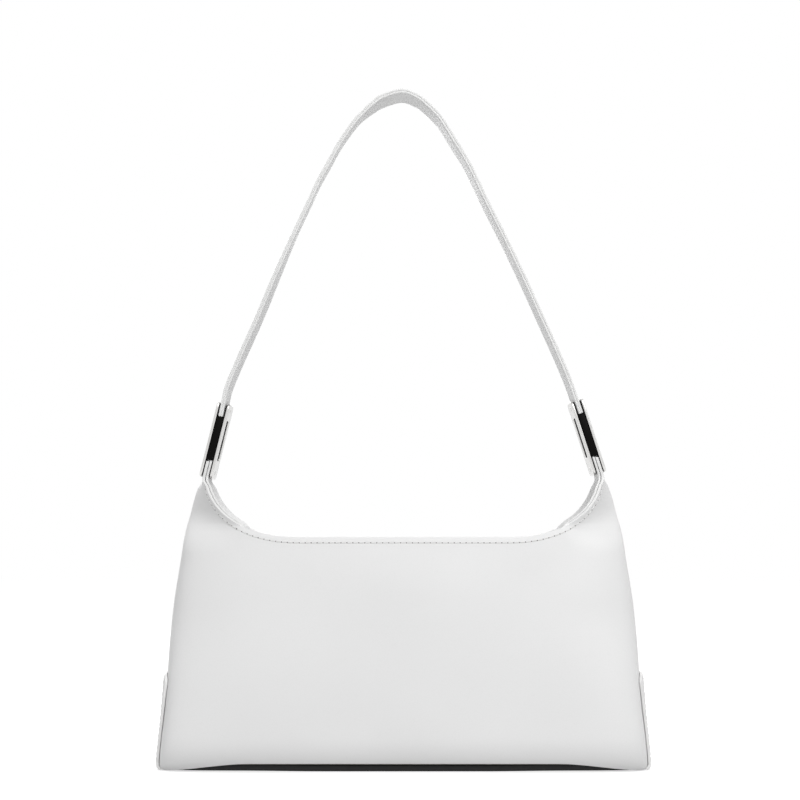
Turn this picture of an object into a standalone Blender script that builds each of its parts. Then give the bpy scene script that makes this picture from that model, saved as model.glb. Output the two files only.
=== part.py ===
"""A shoulder bag in smooth white leather: a wedge-shaped body with a scooped mouth between two horns,
a strap that stands over it on two metal links, a stiffened and lined inside, and a recessed top zip.
Metres, +Z up. The bag faces -Y, and the origin is on the floor under its middle."""

import math

import bmesh
import bpy
from mathutils import Matrix, Vector

# Body: its plan at each height is a superellipse, boxy on the floor, with the horns pressed flat above
BASE_HALF_WIDTH = 0.1362
BASE_HALF_DEPTH = 0.0372
TIP_Z = 0.1665
FOOT_POWER = 9.0
PLAN_POWER = 4.0
ROUND_Z = 0.09
WIDTH_SHARES = [
    (0.0, 1.0), (0.098, 0.988), (0.207, 0.976), (0.342, 0.969), (0.453, 0.963), (0.562, 0.95),
    (0.699, 0.924), (0.801, 0.906), (0.856, 0.889), (0.9105, 0.872), (0.965, 0.849), (1.0, 0.833),
]
DEPTH_SHARES = [(0.0, 1.0), (0.3, 0.87), (0.6, 0.715), (0.775, 0.605), (1.0, 0.47)]
FRONT_ROLL_HEIGHT = 0.019
FRONT_ROLL_INSET = 0.0075
SIDE_ROLL_HEIGHT = 0.003
SIDE_ROLL_INSET = 0.0018
ROLL_TURN_SHARE = 0.85
LOWER_EDGE_ARCH = 0.0048
ARCH_FROM = 0.62
END_RISE = 0.0004
HALF_COLUMNS = 36
PANEL_ROWS = 4
ROLL_LEVELS = (0.0, 0.15, 0.4, 0.7)

# Mouth: flat over the middle, then a rounded rise up each horn
SCOOP_Z = 0.1293
SCOOP_FLAT_HALF = BASE_HALF_WIDTH * 0.4258
SCOOP_HALF_WIDTH = BASE_HALF_WIDTH * 0.8238
SCOOP_CURVE_TOP = 0.168
SCOOP_POWER = 2.2
HORN_CUT_Z = 0.151
FOLD_LOW_Z = 0.122
FOLD_EDGE_Z = 0.136
FOLD_HIGH_Z = 0.145
FOLD_FACING = 0.7
EDGE_SEARCH_STEPS = 40
TURN_STEP = 0.02

# Layers, from the outer face inwards
FIT_GAP = 0.0003
MERGE_SHARE = 0.01
PANEL_WALL = 0.0016
FACING_WALL = 0.0013
FACING_DROP = 0.024
FACING_ROWS = 8
STIFFENER_WALL = 0.001
STIFFENER_LOW_Z = 0.016
STIFFENER_SHARE = 0.9
STIFFENER_ROWS = 4
STIFFENER_LAP_GAP = 0.002
LINING_WALL = 0.0008
LINING_LAP = 0.006
LINING_COLUMNS = 72
LINING_ROWS = 4
POCKET_WALL = 0.0006
POCKET_HALF_WIDTH = BASE_HALF_WIDTH * 0.455
POCKET_LOW_Z = 0.034
POCKET_HIGH_Z = 0.092
POCKET_ROWS = 2

# Base
BASE_WALL = 0.0037
BASE_UNDERSIDE_Z = 0.0004
BASE_FLAT_HALF = 0.045
BASE_SAG_SPAN = 0.045
BASE_SAG_CUTS = 3
BASE_EDGE_CLEARANCE = 0.0006
BOARD_WALL = 0.0015
BASE_COLUMNS = 36

# End patches
PATCH_WALL = 0.0015
PATCH_GAP = 0.0003
PATCH_TOP_Z = 0.0535
PATCH_TOP_HALF = 0.0215
PATCH_FOOT_HALF = 0.0225
PATCH_CORNER = 0.006
PATCH_COLUMNS = 10
PATCH_STRAIGHT_ROWS = 2
PATCH_CORNER_TURNS_DEG = (30, 55, 75, 90)

# Links
LINK_FOOT_X = BASE_HALF_WIDTH * 0.8194
LEFT_FOOT_Z = 0.1628
RIGHT_FOOT_Z = 0.1652
LEFT_LEAN_DEG = 14.1
RIGHT_LEAN_DEG = 18.0
LINK_LENGTH = 0.0436
LINK_HALF_WIDTH = 0.0092
LINK_CORNER = 0.003
CORNER_STEPS = 4
PLATE_WALL = 0.0015
PLATE_INNER = 0.0022
WINDOW_HALF_WIDTH = 0.0050
WINDOW_LOW = 0.0110
WINDOW_HIGH = 0.0342
WINDOW_CORNER = 0.0015
CORE_LOW = 0.0104
CORE_HIGH = 0.0351
RIVET_INSET = 0.0038
RIVET_RADIUS = 0.0013
RIVET_SIDES = 16
CUT_OVERRUN = 0.002

# Necks: from the horns into the links
NECK_WALL = 0.003
NECK_TUCK = 0.0096
NECK_BLEND_Z = 0.153
NECK_HALF_WIDTH = 0.0092
NECK_COLUMNS = 12
NECK_ROWS = 8

# Strap
STRAP_TOP_Z = 0.3802
STRAP_HALF_WIDTH = 0.010
STRAP_LAYER = 0.00128
STRAP_TUCK = 0.0082
STRAP_SWAY = 0.0009
LEFT_LEG_SHARES = [
    (0.9893, 0.0395), (0.9220, 0.1354), (0.8220, 0.2639), (0.7279, 0.3924), (0.6269, 0.5209),
    (0.5219, 0.6488), (0.4704, 0.7133), (0.4090, 0.7773), (0.3466, 0.8418), (0.2674, 0.9058),
    (0.2198, 0.9349), (0.1674, 0.9635), (0.1169, 0.9829),
]
RIGHT_LEG_SHARES = [
    (0.9722, 0.0440), (0.9029, 0.1394), (0.8000, 0.2673), (0.6971, 0.3952), (0.5880, 0.5231),
    (0.4739, 0.6504), (0.4209, 0.7147), (0.3638, 0.7783), (0.2935, 0.8426), (0.2232, 0.9062),
    (0.1804, 0.9352), (0.1264, 0.9636), (0.0805, 0.9829),
]

# Zip
ZIP_Z = 0.1165
ZIP_HALF_LENGTH = BASE_HALF_WIDTH * 0.6314
TAPE_STATIONS = 10
TAPE_WALL = 0.001
TAPE_INNER = 0.0018
TOOTH_LENGTH = 0.0015
TOOTH_PITCH = 0.004
TOOTH_ROOT = 0.0015
TOOTH_CORD = 0.0010
TOOTH_TIP = 0.0005
TOOTH_HEIGHT = 0.002
TEETH_HALF_LENGTH = BASE_HALF_WIDTH * 0.5654
SLIDER_LENGTH = 0.010
SLIDER_HALF_WIDTH = 0.004
SLIDER_PLATE = 0.0011
SLIDER_MOUTH = 0.0028
SLIDER_REST_X = BASE_HALF_WIDTH * 0.5764
SLIDER_POST = 0.0014
SLIDER_POST_HALF = 0.0012
SLIDER_POST_INSET = 0.0005
BAIL_HEIGHT = 0.0034
BAIL_HALF_SPAN = 0.0027
BAIL_WALL = 0.0008
BAIL_LENGTH = 0.0022
PIN_RADIUS = 0.0005
PULLER_LENGTH = 0.024
PULLER_KNUCKLE = 0.0014
PULLER_BORE = 0.0008
PULLER_HALF_WIDTH = 0.0016
PULLER_WALL = 0.0011
KNUCKLE_SIDES = 12
BORE_SIDES = 10
END_TAB_LENGTH = 0.014
END_TAB_WALL = 0.0012
END_TAB_STATIONS = 3
END_TAB_ROWS = 4
STOP_LENGTH = 0.0022
STOP_HALF_WIDTH = 0.0032

SHARP_EDGE_DEG = 35
PARTS = "Shoulder bag"
CUTTERS = "Cutters"


def clear_scene():
    for old in list(bpy.data.objects):
        bpy.data.objects.remove(old)


def make_collection(name):
    made = bpy.data.collections.new(name)
    bpy.context.scene.collection.children.link(made)
    return made


def make_material(name, colour, roughness, metallic=0.0):
    made = bpy.data.materials.new(name)
    made.use_nodes = True
    shader = made.node_tree.nodes["Principled BSDF"]
    shader.inputs["Base Color"].default_value = (*colour, 1.0)
    shader.inputs["Roughness"].default_value = roughness
    shader.inputs["Metallic"].default_value = metallic
    return made


def add_object(name, mesh, material, collection=PARTS):
    made = bpy.data.objects.new(name, mesh)
    bpy.data.collections[collection].objects.link(made)
    if material is not None:
        made.data.materials.append(material)
    return made


def smooth_shading(made):
    made.data.shade_smooth()
    made.data.set_sharp_from_angle(angle=math.radians(SHARP_EDGE_DEG))


def ease(share):
    share = min(max(share, 0.0), 1.0)
    return share * share * (3 - 2 * share)


def curve_value(shares, at):
    """A smooth curve through the table's points, read at one place."""
    last = len(shares) - 2
    index = max(i for i in range(last + 1) if i == 0 or shares[i][0] <= at)
    (x0, y0), (x1, y1) = shares[index], shares[index + 1]
    before = shares[max(index - 1, 0)]
    after = shares[min(index + 2, last + 1)]
    slope0 = (y1 - before[1]) / (x1 - before[0])
    slope1 = (after[1] - y0) / (after[0] - x0)
    step = x1 - x0
    t = (at - x0) / step
    if t > 1:
        return y1 + slope1 * (at - x1)
    return (
        y0 * (1 + 2 * t) * (1 - t) ** 2
        + step * slope0 * t * (1 - t) ** 2
        + y1 * t * t * (3 - 2 * t)
        + step * slope1 * t * t * (t - 1)
    )


def roll_inset(z, height, inset):
    """How far the wall has curved in, this high above the floor."""
    if z >= height:
        return 0.0
    turn = ROLL_TURN_SHARE * (height - z) / height
    return inset * (1 - math.sqrt(1 - turn ** 2)) / (1 - math.sqrt(1 - ROLL_TURN_SHARE ** 2))


def half_width(z):
    share = curve_value(WIDTH_SHARES, z / TIP_Z)
    return BASE_HALF_WIDTH * share - roll_inset(z, SIDE_ROLL_HEIGHT, SIDE_ROLL_INSET)


def half_depth(z):
    share = curve_value(DEPTH_SHARES, z / TIP_Z)
    return BASE_HALF_DEPTH * share - roll_inset(z, FRONT_ROLL_HEIGHT, FRONT_ROLL_INSET)


def plan_power(z):
    return FOOT_POWER + (PLAN_POWER - FOOT_POWER) * ease(z / ROUND_Z)


def fold_share(z):
    """How far a horn is pressed flat between its side seam and the mouth's edge."""
    return ease((z - FOLD_LOW_Z) / (FOLD_HIGH_Z - FOLD_LOW_Z))


def plan_y(share, z):
    """Half the body's depth, this far out as a share of its half width."""
    power = plan_power(z)
    reach = (1 - share ** power) ** (1 / power)
    level = max(z, FOLD_EDGE_Z)
    edge = mouth_half_width(level) / half_width(level)
    if share > edge or z > FOLD_EDGE_Z:
        chord = (1 - edge ** power) ** (1 / power) * (1 - share) / (1 - edge)
        reach += (chord - reach) * fold_share(z)
    return half_depth(z) * reach


def skin(angle, z):
    """A point of the body's outer face. Angle 0 is at +X and 90 degrees at +Y."""
    share = column_share(angle)
    x = math.copysign(half_width(z) * share, math.cos(angle))
    return Vector((x, math.copysign(plan_y(share, z), math.sin(angle)), z))


def wall_normal(angle, z):
    along = skin(angle + TURN_STEP, z) - skin(angle - TURN_STEP, z)
    rise = skin(angle, z + FIT_GAP) - skin(angle, z - FIT_GAP)
    return along.cross(rise).normalized()


def wall_point(angle, z, depth=0.0, flat=False):
    """A point of the body's wall, that far inside its outer face. A horn's layers lie side by side along X."""
    inward = wall_normal(angle, z)
    if flat:
        inward = Vector((inward.x, inward.y, 0.0)).normalized()
    fold = fold_share(z) * min((inward.x / FOLD_FACING) ** 2, 1.0)
    if fold > 0:
        inward = inward * (1 - fold) + Vector((math.copysign(fold, inward.x), 0.0, 0.0))
    return skin(angle, z) - inward * depth


def half_angles(side):
    """The columns of one half of the wall, seam to seam: side is -1 in front and 1 behind."""
    return [side * math.pi * i / HALF_COLUMNS for i in range(HALF_COLUMNS + 1)]


def column_share(angle):
    """How far out along X a column stands, as a share of the half width."""
    return abs(math.cos(angle)) ** (2 / PLAN_POWER)


def mouth_half_width(z):
    rise = min(max((SCOOP_CURVE_TOP - z) / (SCOOP_CURVE_TOP - SCOOP_Z), 0.0), 1.0)
    share = (1 - rise ** SCOOP_POWER) ** (1 / SCOOP_POWER)
    return SCOOP_FLAT_HALF + (SCOOP_HALF_WIDTH - SCOOP_FLAT_HALF) * share


def edge_z(angle, limit=HORN_CUT_Z):
    """The height at which the mouth's edge crosses this column."""
    share = column_share(angle)
    low = SCOOP_Z
    high = limit
    if half_width(low) * share <= SCOOP_FLAT_HALF:
        return low
    if half_width(high) * share >= mouth_half_width(high):
        return high
    for _ in range(EDGE_SEARCH_STEPS):
        middle = (low + high) / 2
        if half_width(middle) * share > mouth_half_width(middle):
            low = middle
        else:
            high = middle
    return low


def lower_z(angle):
    outer = ease((column_share(angle) - ARCH_FROM) / (1 - ARCH_FROM))
    return LOWER_EDGE_ARCH + (END_RISE - LOWER_EDGE_ARCH) * outer


def clear_seam(point, side):
    """Keeps a half's seam edge half a gap off the side seam."""
    if side * point.y < FIT_GAP / 2:
        point.y = side * FIT_GAP / 2
    return point


def loft(name, rows, outward):
    """A mesh of quads between rows of points, turned so that its faces look along outward."""
    mesh = bpy.data.meshes.new(name)
    bm = bmesh.new()
    grid = [[bm.verts.new(point) for point in row] for row in rows]
    for lower, upper in zip(grid, grid[1:]):
        for i in range(len(lower) - 1):
            bm.faces.new((lower[i], lower[i + 1], upper[i + 1], upper[i]))
    bm.normal_update()
    facing = sum(face.normal.dot(outward(face.calc_center_median())) for face in bm.faces)
    if facing < 0:
        bmesh.ops.reverse_faces(bm, faces=bm.faces)
    bm.to_mesh(mesh)
    bm.free()
    return mesh


def from_axis(point):
    return Vector((point.x, point.y * BASE_HALF_WIDTH / BASE_HALF_DEPTH, 0.0))


def add_shell(name, rows, wall, material, outward=from_axis):
    """An open lofted surface with its wall on the inner side."""
    made = add_object(name, loft(name, rows, outward), material)
    solid = made.modifiers.new("Wall", "SOLIDIFY")
    solid.thickness = wall
    solid.offset = -1.0
    smooth_shading(made)
    return made


def add_wall(name, rows_at, near, far, material):
    """A closed wall between the surfaces at two depths, each given as rows of points."""
    mesh = bpy.data.meshes.new(name)
    bm = bmesh.new()
    outer = [[bm.verts.new(point) for point in row] for row in rows_at(near)]
    inner = [[bm.verts.new(point) for point in row] for row in rows_at(far)]
    for grid in (outer, inner):
        for lower, upper in zip(grid, grid[1:]):
            for i in range(len(lower) - 1):
                bm.faces.new((lower[i], lower[i + 1], upper[i + 1], upper[i]))
    rims = [(outer[0], inner[0]), (outer[-1], inner[-1])]
    rims += [([row[end] for row in outer], [row[end] for row in inner]) for end in (0, -1)]
    for outside, inside in rims:
        for i in range(len(outside) - 1):
            bm.faces.new((outside[i], outside[i + 1], inside[i + 1], inside[i]))
    bmesh.ops.recalc_face_normals(bm, faces=bm.faces)
    bm.to_mesh(mesh)
    bm.free()
    made = add_object(name, mesh, material)
    smooth_shading(made)
    return made


def spread(low, high, count):
    return [low + (high - low) * i / count for i in range(count + 1)]


def stay_above_floor(point):
    point.z = max(point.z, 0.0)
    return point


def panel_rows(side, depth, levels):
    """Rows up one half of the wall, at the heights that levels gives for a column."""
    angles = half_angles(side)
    columns = [levels(angle) for angle in angles]
    rows = []
    for i in range(len(columns[0])):
        row = [wall_point(angle, column[i], depth) for angle, column in zip(angles, columns)]
        rows.append([stay_above_floor(clear_seam(point, side)) for point in row])
    return rows


def panel_levels(angle):
    """Close together where the wall rolls under, and level with the facing's rows behind the mouth's edge."""
    low = lower_z(angle)
    roll = [low + (FRONT_ROLL_HEIGHT - low) * share for share in ROLL_LEVELS]
    return roll + spread(FRONT_ROLL_HEIGHT, SCOOP_Z - FACING_DROP, PANEL_ROWS)[:-1] + facing_levels(angle)


def make_panels(leather):
    for name, side in (("front_panel", -1), ("back_panel", 1)):
        add_wall(name, lambda depth: panel_rows(side, depth, panel_levels), 0.0, PANEL_WALL, leather)


def facing_levels(angle):
    return spread(SCOOP_Z - FACING_DROP, edge_z(angle), FACING_ROWS)


def make_facings(leather):
    near = PANEL_WALL + FIT_GAP
    for name, side in (("front_facing", -1), ("back_facing", 1)):
        add_wall(name, lambda depth: panel_rows(side, depth, facing_levels), near, near + FACING_WALL, leather)


def stiffener_rows(side, depth):
    high = SCOOP_Z - FACING_DROP - STIFFENER_LAP_GAP
    angles = [angle for angle in half_angles(side) if column_share(angle) < STIFFENER_SHARE]
    return [
        [wall_point(angle, z, depth) for angle in angles]
        for z in spread(STIFFENER_LOW_Z, high, STIFFENER_ROWS)
    ]


def make_stiffeners(board):
    near = PANEL_WALL + FIT_GAP
    for name, side in (("front_stiffener", -1), ("back_stiffener", 1)):
        add_wall(name, lambda depth: stiffener_rows(side, depth), near, near + STIFFENER_WALL, board)


def lining_depth():
    return PANEL_WALL + FACING_WALL + 2.5 * FIT_GAP


def board_low_z():
    return BASE_UNDERSIDE_Z + BASE_WALL + FIT_GAP


def lining_floor_z():
    return board_low_z() + BOARD_WALL + FIT_GAP


def make_lining(fabric):
    """A cup of cloth: the wall's rows, closed by a floor."""
    turns = [math.tau * i / LINING_COLUMNS for i in range(LINING_COLUMNS)]
    levels = [lining_floor_z()]
    levels += spread(STIFFENER_LOW_Z, SCOOP_Z - FACING_DROP + LINING_LAP, LINING_ROWS)
    mesh = bpy.data.meshes.new("lining")
    bm = bmesh.new()
    grid = [
        [bm.verts.new(wall_point(turn, z, lining_depth(), flat=True)) for turn in turns] for z in levels
    ]
    for lower, upper in zip(grid, grid[1:]):
        for i in range(LINING_COLUMNS):
            bm.faces.new((lower[i - 1], lower[i], upper[i], upper[i - 1]))
    bm.faces.new(grid[0])
    bmesh.ops.recalc_face_normals(bm, faces=bm.faces)
    bm.normal_update()
    if bm.faces[0].normal.dot(from_axis(bm.faces[0].calc_center_median())) < 0:
        bmesh.ops.reverse_faces(bm, faces=bm.faces)
    bm.to_mesh(mesh)
    bm.free()
    made = add_object("lining", mesh, fabric)
    solid = made.modifiers.new("Wall", "SOLIDIFY")
    solid.thickness = LINING_WALL
    solid.offset = -1.0
    smooth_shading(made)


def make_pocket(fabric):
    depth = lining_depth() + LINING_WALL + FIT_GAP
    rows = [
        [wall_point(angle, z, depth, flat=True) for angle in half_angles(1)
         if column_share(angle) * half_width(z) <= POCKET_HALF_WIDTH]
        for z in spread(POCKET_LOW_Z, POCKET_HIGH_Z, POCKET_ROWS)
    ]
    shortest = min(len(row) for row in rows)
    spare = [(len(row) - shortest) // 2 for row in rows]
    rows = [row[skip:skip + shortest] for row, skip in zip(rows, spare)]
    add_shell("slip_pocket", rows, POCKET_WALL, fabric)


def slab(name, outline, low_z, wall, material, sag=None):
    """A plate with this outline, whose middle may hang lower."""
    mesh = bpy.data.meshes.new(name)
    bm = bmesh.new()
    face = bm.faces.new([bm.verts.new((point.x, point.y, low_z)) for point in outline])
    if sag:
        reaches = spread(BASE_FLAT_HALF, BASE_FLAT_HALF + BASE_SAG_SPAN, BASE_SAG_CUTS)
        for x in reaches + [-reach for reach in reaches]:
            bmesh.ops.bisect_plane(
                bm, geom=bm.verts[:] + bm.edges[:] + bm.faces[:], plane_co=(x, 0, 0), plane_no=(1, 0, 0)
            )
        for vert in bm.verts:
            vert.co.z -= sag(vert.co.x)
    grown = bmesh.ops.extrude_face_region(bm, geom=bm.faces[:])
    raised = [item for item in grown["geom"] if isinstance(item, bmesh.types.BMVert)]
    bmesh.ops.translate(bm, verts=raised, vec=(0, 0, wall))
    bmesh.ops.recalc_face_normals(bm, faces=bm.faces)
    bm.to_mesh(mesh)
    bm.free()
    return add_object(name, mesh, material)


def base_sag(x):
    """The base hangs to the floor in its middle, and rises to its seat at both ends."""
    return BASE_UNDERSIDE_Z * (1 - ease((abs(x) - BASE_FLAT_HALF) / BASE_SAG_SPAN))


def make_base(black, board):
    depth = PANEL_WALL + BASE_EDGE_CLEARANCE
    angles = [math.tau * i / BASE_COLUMNS for i in range(BASE_COLUMNS)]
    outline = [wall_point(angle, 0.0, depth, flat=True) for angle in angles]
    slab("base_panel", outline, BASE_UNDERSIDE_Z, BASE_WALL, black, base_sag)
    outline = [wall_point(angle, board_low_z(), depth, flat=True) for angle in angles]
    slab("base_board", outline, board_low_z(), BOARD_WALL, board)


def patch_half(z):
    reach = PATCH_FOOT_HALF + (PATCH_TOP_HALF - PATCH_FOOT_HALF) * z / PATCH_TOP_Z
    above = z - (PATCH_TOP_Z - PATCH_CORNER)
    if above > 0:
        reach -= PATCH_CORNER - math.sqrt(max(PATCH_CORNER ** 2 - above ** 2, 0.0))
    return reach


def side_turn(y, z):
    """How far round from the seam the side of the wall stands this far from the middle plane."""
    power = plan_power(z)
    share = (1 - (abs(y) / half_depth(z)) ** power) ** (1 / power)
    return math.copysign(math.acos(share ** (PLAN_POWER / 2)), y)


def patch_rows(side, depth):
    corner_low = PATCH_TOP_Z - PATCH_CORNER
    levels = [0.0, SIDE_ROLL_HEIGHT / 2, SIDE_ROLL_HEIGHT, FRONT_ROLL_HEIGHT / 2]
    levels += spread(FRONT_ROLL_HEIGHT, corner_low, PATCH_STRAIGHT_ROWS)
    levels += [corner_low + PATCH_CORNER * math.sin(math.radians(turn)) for turn in PATCH_CORNER_TURNS_DEG]
    middle = math.pi if side < 0 else 0.0
    rows = []
    for z in levels:
        turns = [side_turn(y, z) for y in spread(-patch_half(z), patch_half(z), PATCH_COLUMNS)]
        rows.append([wall_point(middle + turn, z, depth, flat=True) for turn in turns])
    return rows


def make_patches(leather):
    for name, side in (("left_end_patch", -1), ("right_end_patch", 1)):
        add_wall(name, lambda depth: patch_rows(side, depth), -PATCH_GAP - PATCH_WALL, -PATCH_GAP, leather)


def link_lean(side):
    return math.radians(LEFT_LEAN_DEG if side < 0 else RIGHT_LEAN_DEG)


def link_frame(side):
    """Local X runs across the link, local Y up it and local Z away from the bag. The origin is its foot."""
    lean = link_lean(side)
    across = Vector((0, side, 0))
    up = Vector((-side * math.sin(lean), 0, math.cos(lean)))
    out = across.cross(up)
    frame = Matrix((across, up, out)).transposed().to_4x4()
    foot_z = link_foot(side)
    frame.translation = Vector((side * link_x(side, foot_z), 0, foot_z))
    return frame


def link_foot(side):
    return LEFT_FOOT_Z if side < 0 else RIGHT_FOOT_Z


def link_x(side, z):
    """The distance from the middle to a link's centre plane at a height."""
    return LINK_FOOT_X - (z - LEFT_FOOT_Z) * math.tan(link_lean(side))


def rounded_outline(half, low, high, corner, steps=CORNER_STEPS):
    points = []
    corners = ((half, low, -90), (half, high, 0), (-half, high, 90), (-half, low, 180))
    for x, y, start in corners:
        centre_x = x - math.copysign(corner, x)
        centre_y = y + (corner if y == low else -corner)
        for i in range(steps + 1):
            turn = math.radians(start + 90 * i / steps)
            points.append((centre_x + corner * math.cos(turn), centre_y + corner * math.sin(turn)))
    return points


def circle_outline(x, y, radius):
    turns = [math.tau * i / RIVET_SIDES for i in range(RIVET_SIDES)]
    return [(x + radius * math.cos(turn), y + radius * math.sin(turn)) for turn in turns]


def add_plate(name, outlines, low, high, frame, material, collection=PARTS):
    """A flat piece with these outlines, from low to high along the frame's Z, as a mesh."""
    curve = bpy.data.curves.new(name, "CURVE")
    curve.dimensions = "2D"
    curve.fill_mode = "BOTH"
    curve.extrude = (high - low) / 2
    for outline in outlines:
        spline = curve.splines.new("POLY")
        spline.points.add(len(outline) - 1)
        for point, (x, y) in zip(spline.points, outline):
            point.co = (x, y, 0, 1)
        spline.use_cyclic_u = True
    guide = bpy.data.objects.new(name + "_curve", curve)
    bpy.data.collections[collection].objects.link(guide)
    bpy.context.view_layer.update()
    evaluated = guide.evaluated_get(bpy.context.evaluated_depsgraph_get())
    mesh = bpy.data.meshes.new_from_object(evaluated)
    bpy.data.objects.remove(guide)
    bm = bmesh.new()
    bm.from_mesh(mesh)
    bmesh.ops.remove_doubles(bm, verts=bm.verts, dist=FIT_GAP * MERGE_SHARE)
    bmesh.ops.translate(bm, verts=bm.verts, vec=(0, 0, (high + low) / 2))
    bmesh.ops.recalc_face_normals(bm, faces=bm.faces)
    bm.to_mesh(mesh)
    bm.free()
    made = add_object(name, mesh, material, collection)
    made.matrix_world = frame
    return made


def hide_cutter(made):
    made.hide_render = True
    made.display_type = "WIRE"
    return made


def cut(made, cutter):
    change = made.modifiers.new("Cut " + cutter.name, "BOOLEAN")
    change.operation = "DIFFERENCE"
    change.solver = "EXACT"
    change.object = cutter


def rivet_places():
    return (("lower", RIVET_INSET), ("upper", LINK_LENGTH - RIVET_INSET))


def make_links(metal, lacquer):
    plate_high = PLATE_INNER + PLATE_WALL
    for name, side in (("left", -1), ("right", 1)):
        frame = link_frame(side)
        plate = [
            rounded_outline(LINK_HALF_WIDTH, 0.0, LINK_LENGTH, LINK_CORNER),
            rounded_outline(WINDOW_HALF_WIDTH, WINDOW_LOW, WINDOW_HIGH, WINDOW_CORNER),
        ]
        plate += [circle_outline(0.0, place, RIVET_RADIUS + FIT_GAP) for _, place in rivet_places()]
        add_plate(name + "_link_outer_plate", plate, PLATE_INNER, plate_high, frame, metal)
        add_plate(name + "_link_inner_plate", plate, -plate_high, -PLATE_INNER, frame, metal)
        core = [rounded_outline(LINK_HALF_WIDTH, CORE_LOW, CORE_HIGH, FIT_GAP, 1)]
        add_plate(name + "_link_core", core, FIT_GAP - PLATE_INNER, PLATE_INNER - FIT_GAP, frame, lacquer)
        for end, place in rivet_places():
            shank = [circle_outline(0.0, place, RIVET_RADIUS)]
            add_plate(name + "_link_" + end + "_rivet", shank, -plate_high, plate_high, frame, metal)
            hole = [circle_outline(0.0, place, RIVET_RADIUS + FIT_GAP)]
            reach = PLATE_INNER + CUT_OVERRUN
            cutter = add_plate(name + "_" + end + "_hole", hole, -reach, reach, frame, None, CUTTERS)
            hide_cutter(cutter)


def neck_rows(side, depth):
    """A surface of a neck: the horn's folded section flattens into the strip inside the link."""
    lean = link_lean(side)
    foot_z = link_foot(side)
    top_z = foot_z + NECK_TUCK * math.cos(lean)
    half_wall = NECK_WALL / 2 / math.cos(lean)
    rows = []
    for z in spread(HORN_CUT_Z + FIT_GAP, foot_z, NECK_ROWS) + [top_z]:
        flat = ease((z - NECK_BLEND_Z) / (foot_z - NECK_BLEND_Z))
        near = min(z, foot_z)
        edge_x = mouth_half_width(near)
        bulge = max(half_width(near) - edge_x, 0.0) * (1 - flat)
        reach = plan_y(edge_x / max(half_width(near), edge_x), near)
        reach += (NECK_HALF_WIDTH - reach) * flat
        edge_x += (link_x(side, z) + half_wall - edge_x) * flat
        edge_x -= depth / math.cos(lean)
        rows.append([
            Vector((side * (edge_x + bulge * (1 - abs(across))), across * reach, z))
            for across in spread(-1.0, 1.0, NECK_COLUMNS)
        ])
    return rows


def make_necks(leather):
    for name, side in (("left", -1), ("right", 1)):
        made = add_wall(name + "_neck", lambda depth: neck_rows(side, depth), 0.0, NECK_WALL, leather)
        cut(made, bpy.data.objects[name + "_lower_hole"])


def strap_leg(side, shares):
    """The centre line of one leg of the strap, from inside its link upwards, as x and z."""
    lean = link_lean(side)
    foot_z = link_foot(side) + LINK_LENGTH * math.cos(lean)
    tail_z = foot_z - STRAP_TUCK * math.cos(lean)
    foot_x = link_x(side, foot_z)
    knots = [(foot_x * x, foot_z + (STRAP_TOP_Z - foot_z) * share) for x, share in shares]
    return [Vector((side * x, z)) for x, z in [(link_x(side, tail_z), tail_z)] + knots]


def strap_route():
    """The strap's centre line, left end to right end, as x and z."""
    points = strap_leg(-1, LEFT_LEG_SHARES) + [Vector((-STRAP_SWAY, STRAP_TOP_Z))]
    points += reversed(strap_leg(1, RIGHT_LEG_SHARES))
    fine = []
    for i in range(len(points) - 1):
        before = points[max(i - 1, 0)]
        here = points[i]
        there = points[i + 1]
        after = points[min(i + 2, len(points) - 1)]
        straight = i in (0, len(points) - 2)
        for t in ((0.0,) if straight else (0.0, 0.5)):
            bow = (here - before + there - after) * (t * (1 - t) / 4)
            fine.append(here.lerp(there, t) + bow)
    fine.append(points[-1])
    return fine


def strap_band(route, low, high):
    """A band along the route, between two distances to its outer side."""
    sides = ([], [])
    for i, point in enumerate(route):
        along = route[min(i + 1, len(route) - 1)] - route[max(i - 1, 0)]
        outward = Vector((-along.y, along.x)).normalized()
        for side, distance in zip(sides, (low, high)):
            side.append(tuple(point + outward * distance))
    return sides[0] + sides[1][::-1]


def make_strap(leather, backing):
    route = strap_route()
    upright = Matrix.Rotation(math.radians(90), 4, "X")
    gap = FIT_GAP / 2
    layers = (
        ("strap_outer", gap, gap + STRAP_LAYER, leather),
        ("strap_lining", -gap - STRAP_LAYER, -gap, backing),
    )
    for name, low, high, material in layers:
        outline = strap_band(route, low, high)
        made = add_plate(name, [outline], -STRAP_HALF_WIDTH, STRAP_HALF_WIDTH, upright, material)
        for side in ("left", "right"):
            cut(made, bpy.data.objects[side + "_upper_hole"])
        smooth_shading(made)


def box_mesh(name, low, high):
    mesh = bpy.data.meshes.new(name)
    bm = bmesh.new()
    bmesh.ops.create_cube(bm, size=1.0)
    size = Vector(high) - Vector(low)
    bmesh.ops.scale(bm, verts=bm.verts, vec=size)
    bmesh.ops.translate(bm, verts=bm.verts, vec=(Vector(low) + Vector(high)) / 2)
    bm.to_mesh(mesh)
    bm.free()
    return mesh


def add_union(name, boxes, material):
    """One solid from boxes that overlap."""
    made = add_object(name, box_mesh(name, *boxes[0]), material)
    for i, (low, high) in enumerate(boxes[1:]):
        piece = add_object(name + "_piece_" + str(i), box_mesh(name, low, high), None, CUTTERS)
        hide_cutter(piece)
        change = made.modifiers.new("Join", "BOOLEAN")
        change.operation = "UNION"
        change.solver = "EXACT"
        change.object = piece
    return made


def zip_edge_y(x):
    """How far from the middle the zip's tape may reach towards a facing."""
    depth = PANEL_WALL + FACING_WALL + 2 * FIT_GAP
    return plan_y(min(abs(x) / half_width(ZIP_Z), 1.0), ZIP_Z - TAPE_WALL) - depth - FIT_GAP


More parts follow.
